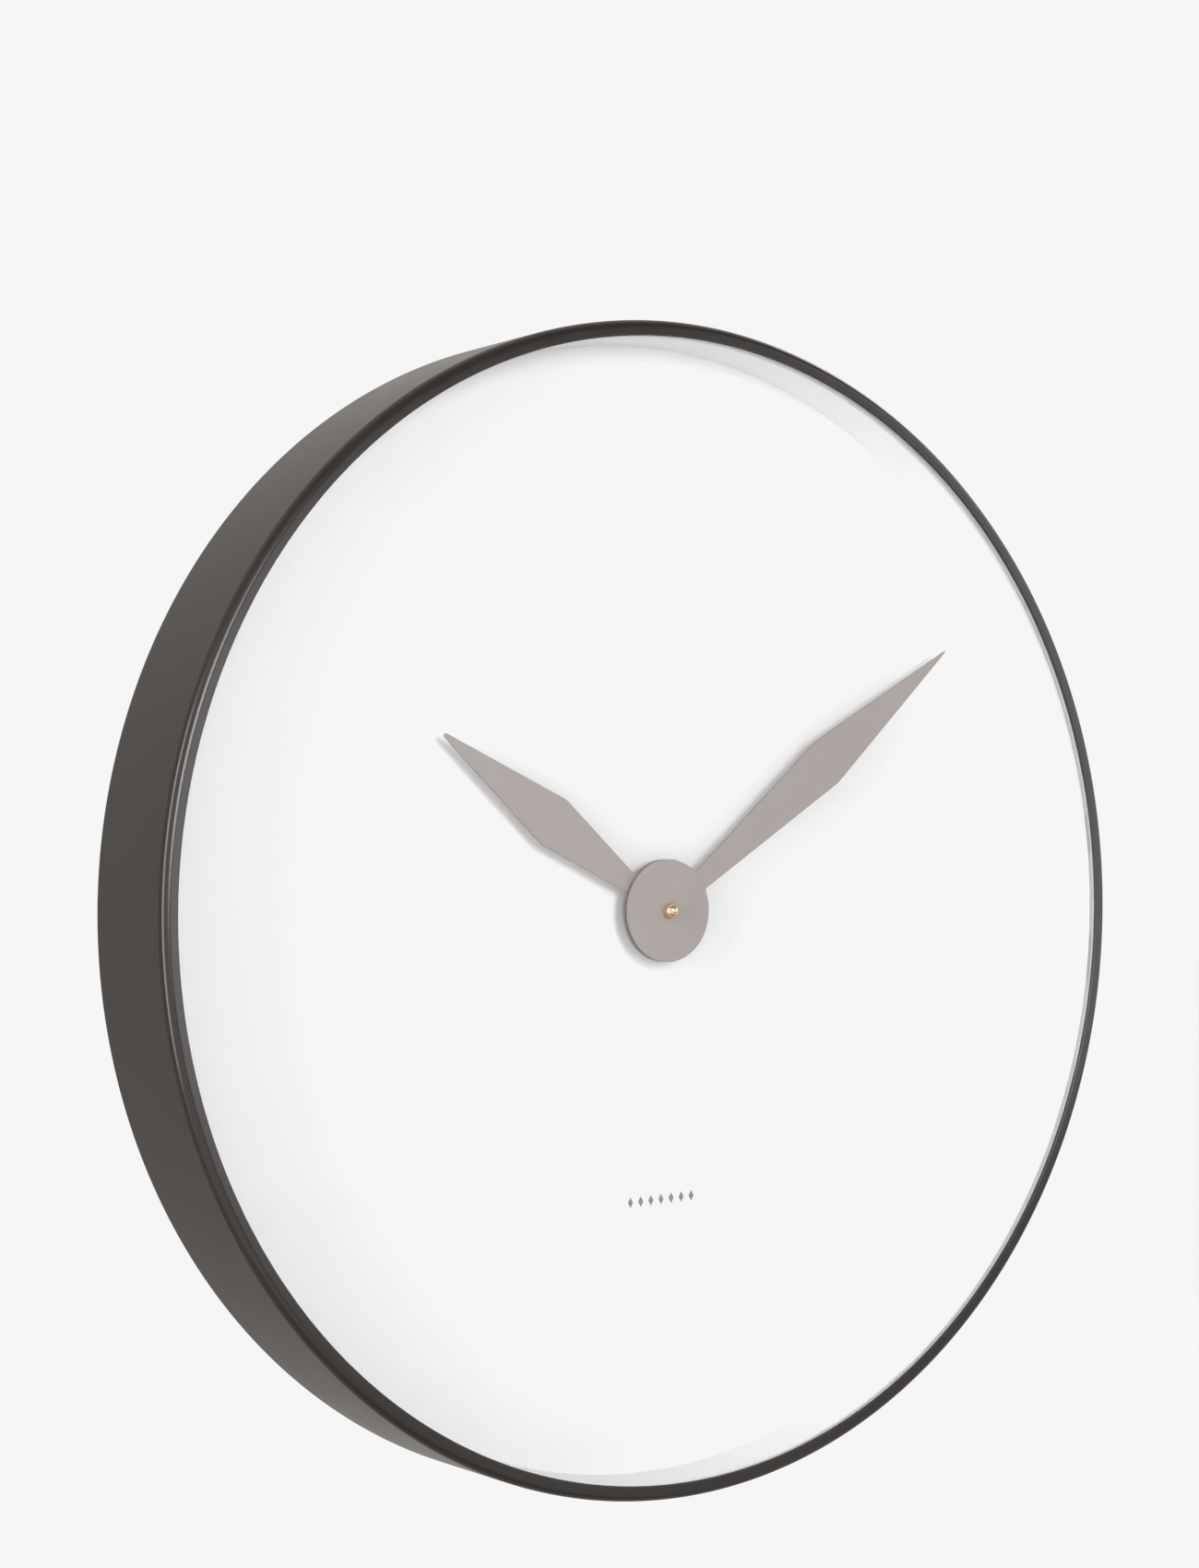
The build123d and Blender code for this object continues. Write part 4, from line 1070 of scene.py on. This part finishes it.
def direction_to(azimuth, elevation):
    """Unit vector: azimuth 0 is straight in front of the dial, positive to the right."""
    a, e = radians(azimuth), radians(elevation)
    return Vector((sin(a) * cos(e), -cos(a) * cos(e), sin(e)))


def softbox(name, azimuth, elevation, across, tall, radiance, glint_only=False):
    """A rectangular light aimed at the clock, so many degrees across and tall.

    The camera never sees it. One that only makes glints shows in glossy surfaces, and adds
    neither light nor shadow to matte ones.
    """
    width = 2 * SOFTBOX_DISTANCE * tan(radians(across) / 2)
    height = 2 * SOFTBOX_DISTANCE * tan(radians(tall) / 2)
    data = bpy.data.lights.new(name, "AREA")
    data.shape = "RECTANGLE"
    data.size, data.size_y = width, height
    data.energy = radiance * width * height * pi
    light = bpy.data.objects.new(name, data)
    towards = direction_to(azimuth, elevation)
    light.location = towards * SOFTBOX_DISTANCE
    light.rotation_mode = "QUATERNION"
    light.rotation_quaternion = towards.to_track_quat("Z", "Y")
    light.visible_camera = False
    light.visible_diffuse = not glint_only
    bpy.context.scene.collection.objects.link(light)


def camera():
    """Aimed at the middle of the case's front, then turned, tipped and rolled a little."""
    data = bpy.data.cameras.new("camera")
    data.lens = CAMERA_LENS
    data.sensor_width = CAMERA_SENSOR
    data.shift_y = CAMERA_SHIFT
    target = Vector((0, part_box("case_shell")[0].y, 0))
    forward = (target - CAMERA_AT).normalized()
    right = forward.cross(Vector((0, 0, 1))).normalized()
    up = right.cross(forward)
    turned_by = Matrix.Rotation(radians(CAMERA_YAW), 3, up)
    forward, right = turned_by @ forward, turned_by @ right
    turned_by = Matrix.Rotation(radians(CAMERA_PITCH), 3, right)
    forward, up = turned_by @ forward, turned_by @ up
    turned_by = Matrix.Rotation(radians(CAMERA_ROLL), 3, forward)
    right, up = turned_by @ right, turned_by @ up
    obj = bpy.data.objects.new("camera", data)
    facing = Matrix((right, up, -forward)).transposed().to_4x4()
    obj.matrix_world = Matrix.Translation(CAMERA_AT) @ facing
    bpy.context.scene.collection.objects.link(obj)
    bpy.context.scene.camera = obj


def flat_whites():
    """Plain colour transform, with everything brighter than the backdrop held at its tone."""
    view = bpy.context.scene.view_settings
    view.view_transform = "Standard"
    view.use_curve_mapping = True
    view.curve_mapping.extend = "HORIZONTAL"
    curve = view.curve_mapping.curves[COMBINED_CURVE]
    curve.points[0].location = (0, 0)
    curve.points[1].location = (1, PALE)
    curve.points.new(PALE, PALE)
    for point in curve.points:
        point.handle_type = "VECTOR"
    view.curve_mapping.update()


stage_floor()
studio_world()
softbox("key", -6, 12, 20, 20, 11.6)
softbox("front", 25, 0, 24, 20, 2.8, glint_only=True)
softbox("right", 59, 9, 32, 36, 1.6, glint_only=True)
softbox("left_strip", -73, 5, 14, 50, 7.2)
softbox("behind", 108, 30, 24, 24, 2.5)
camera()
flat_whites()
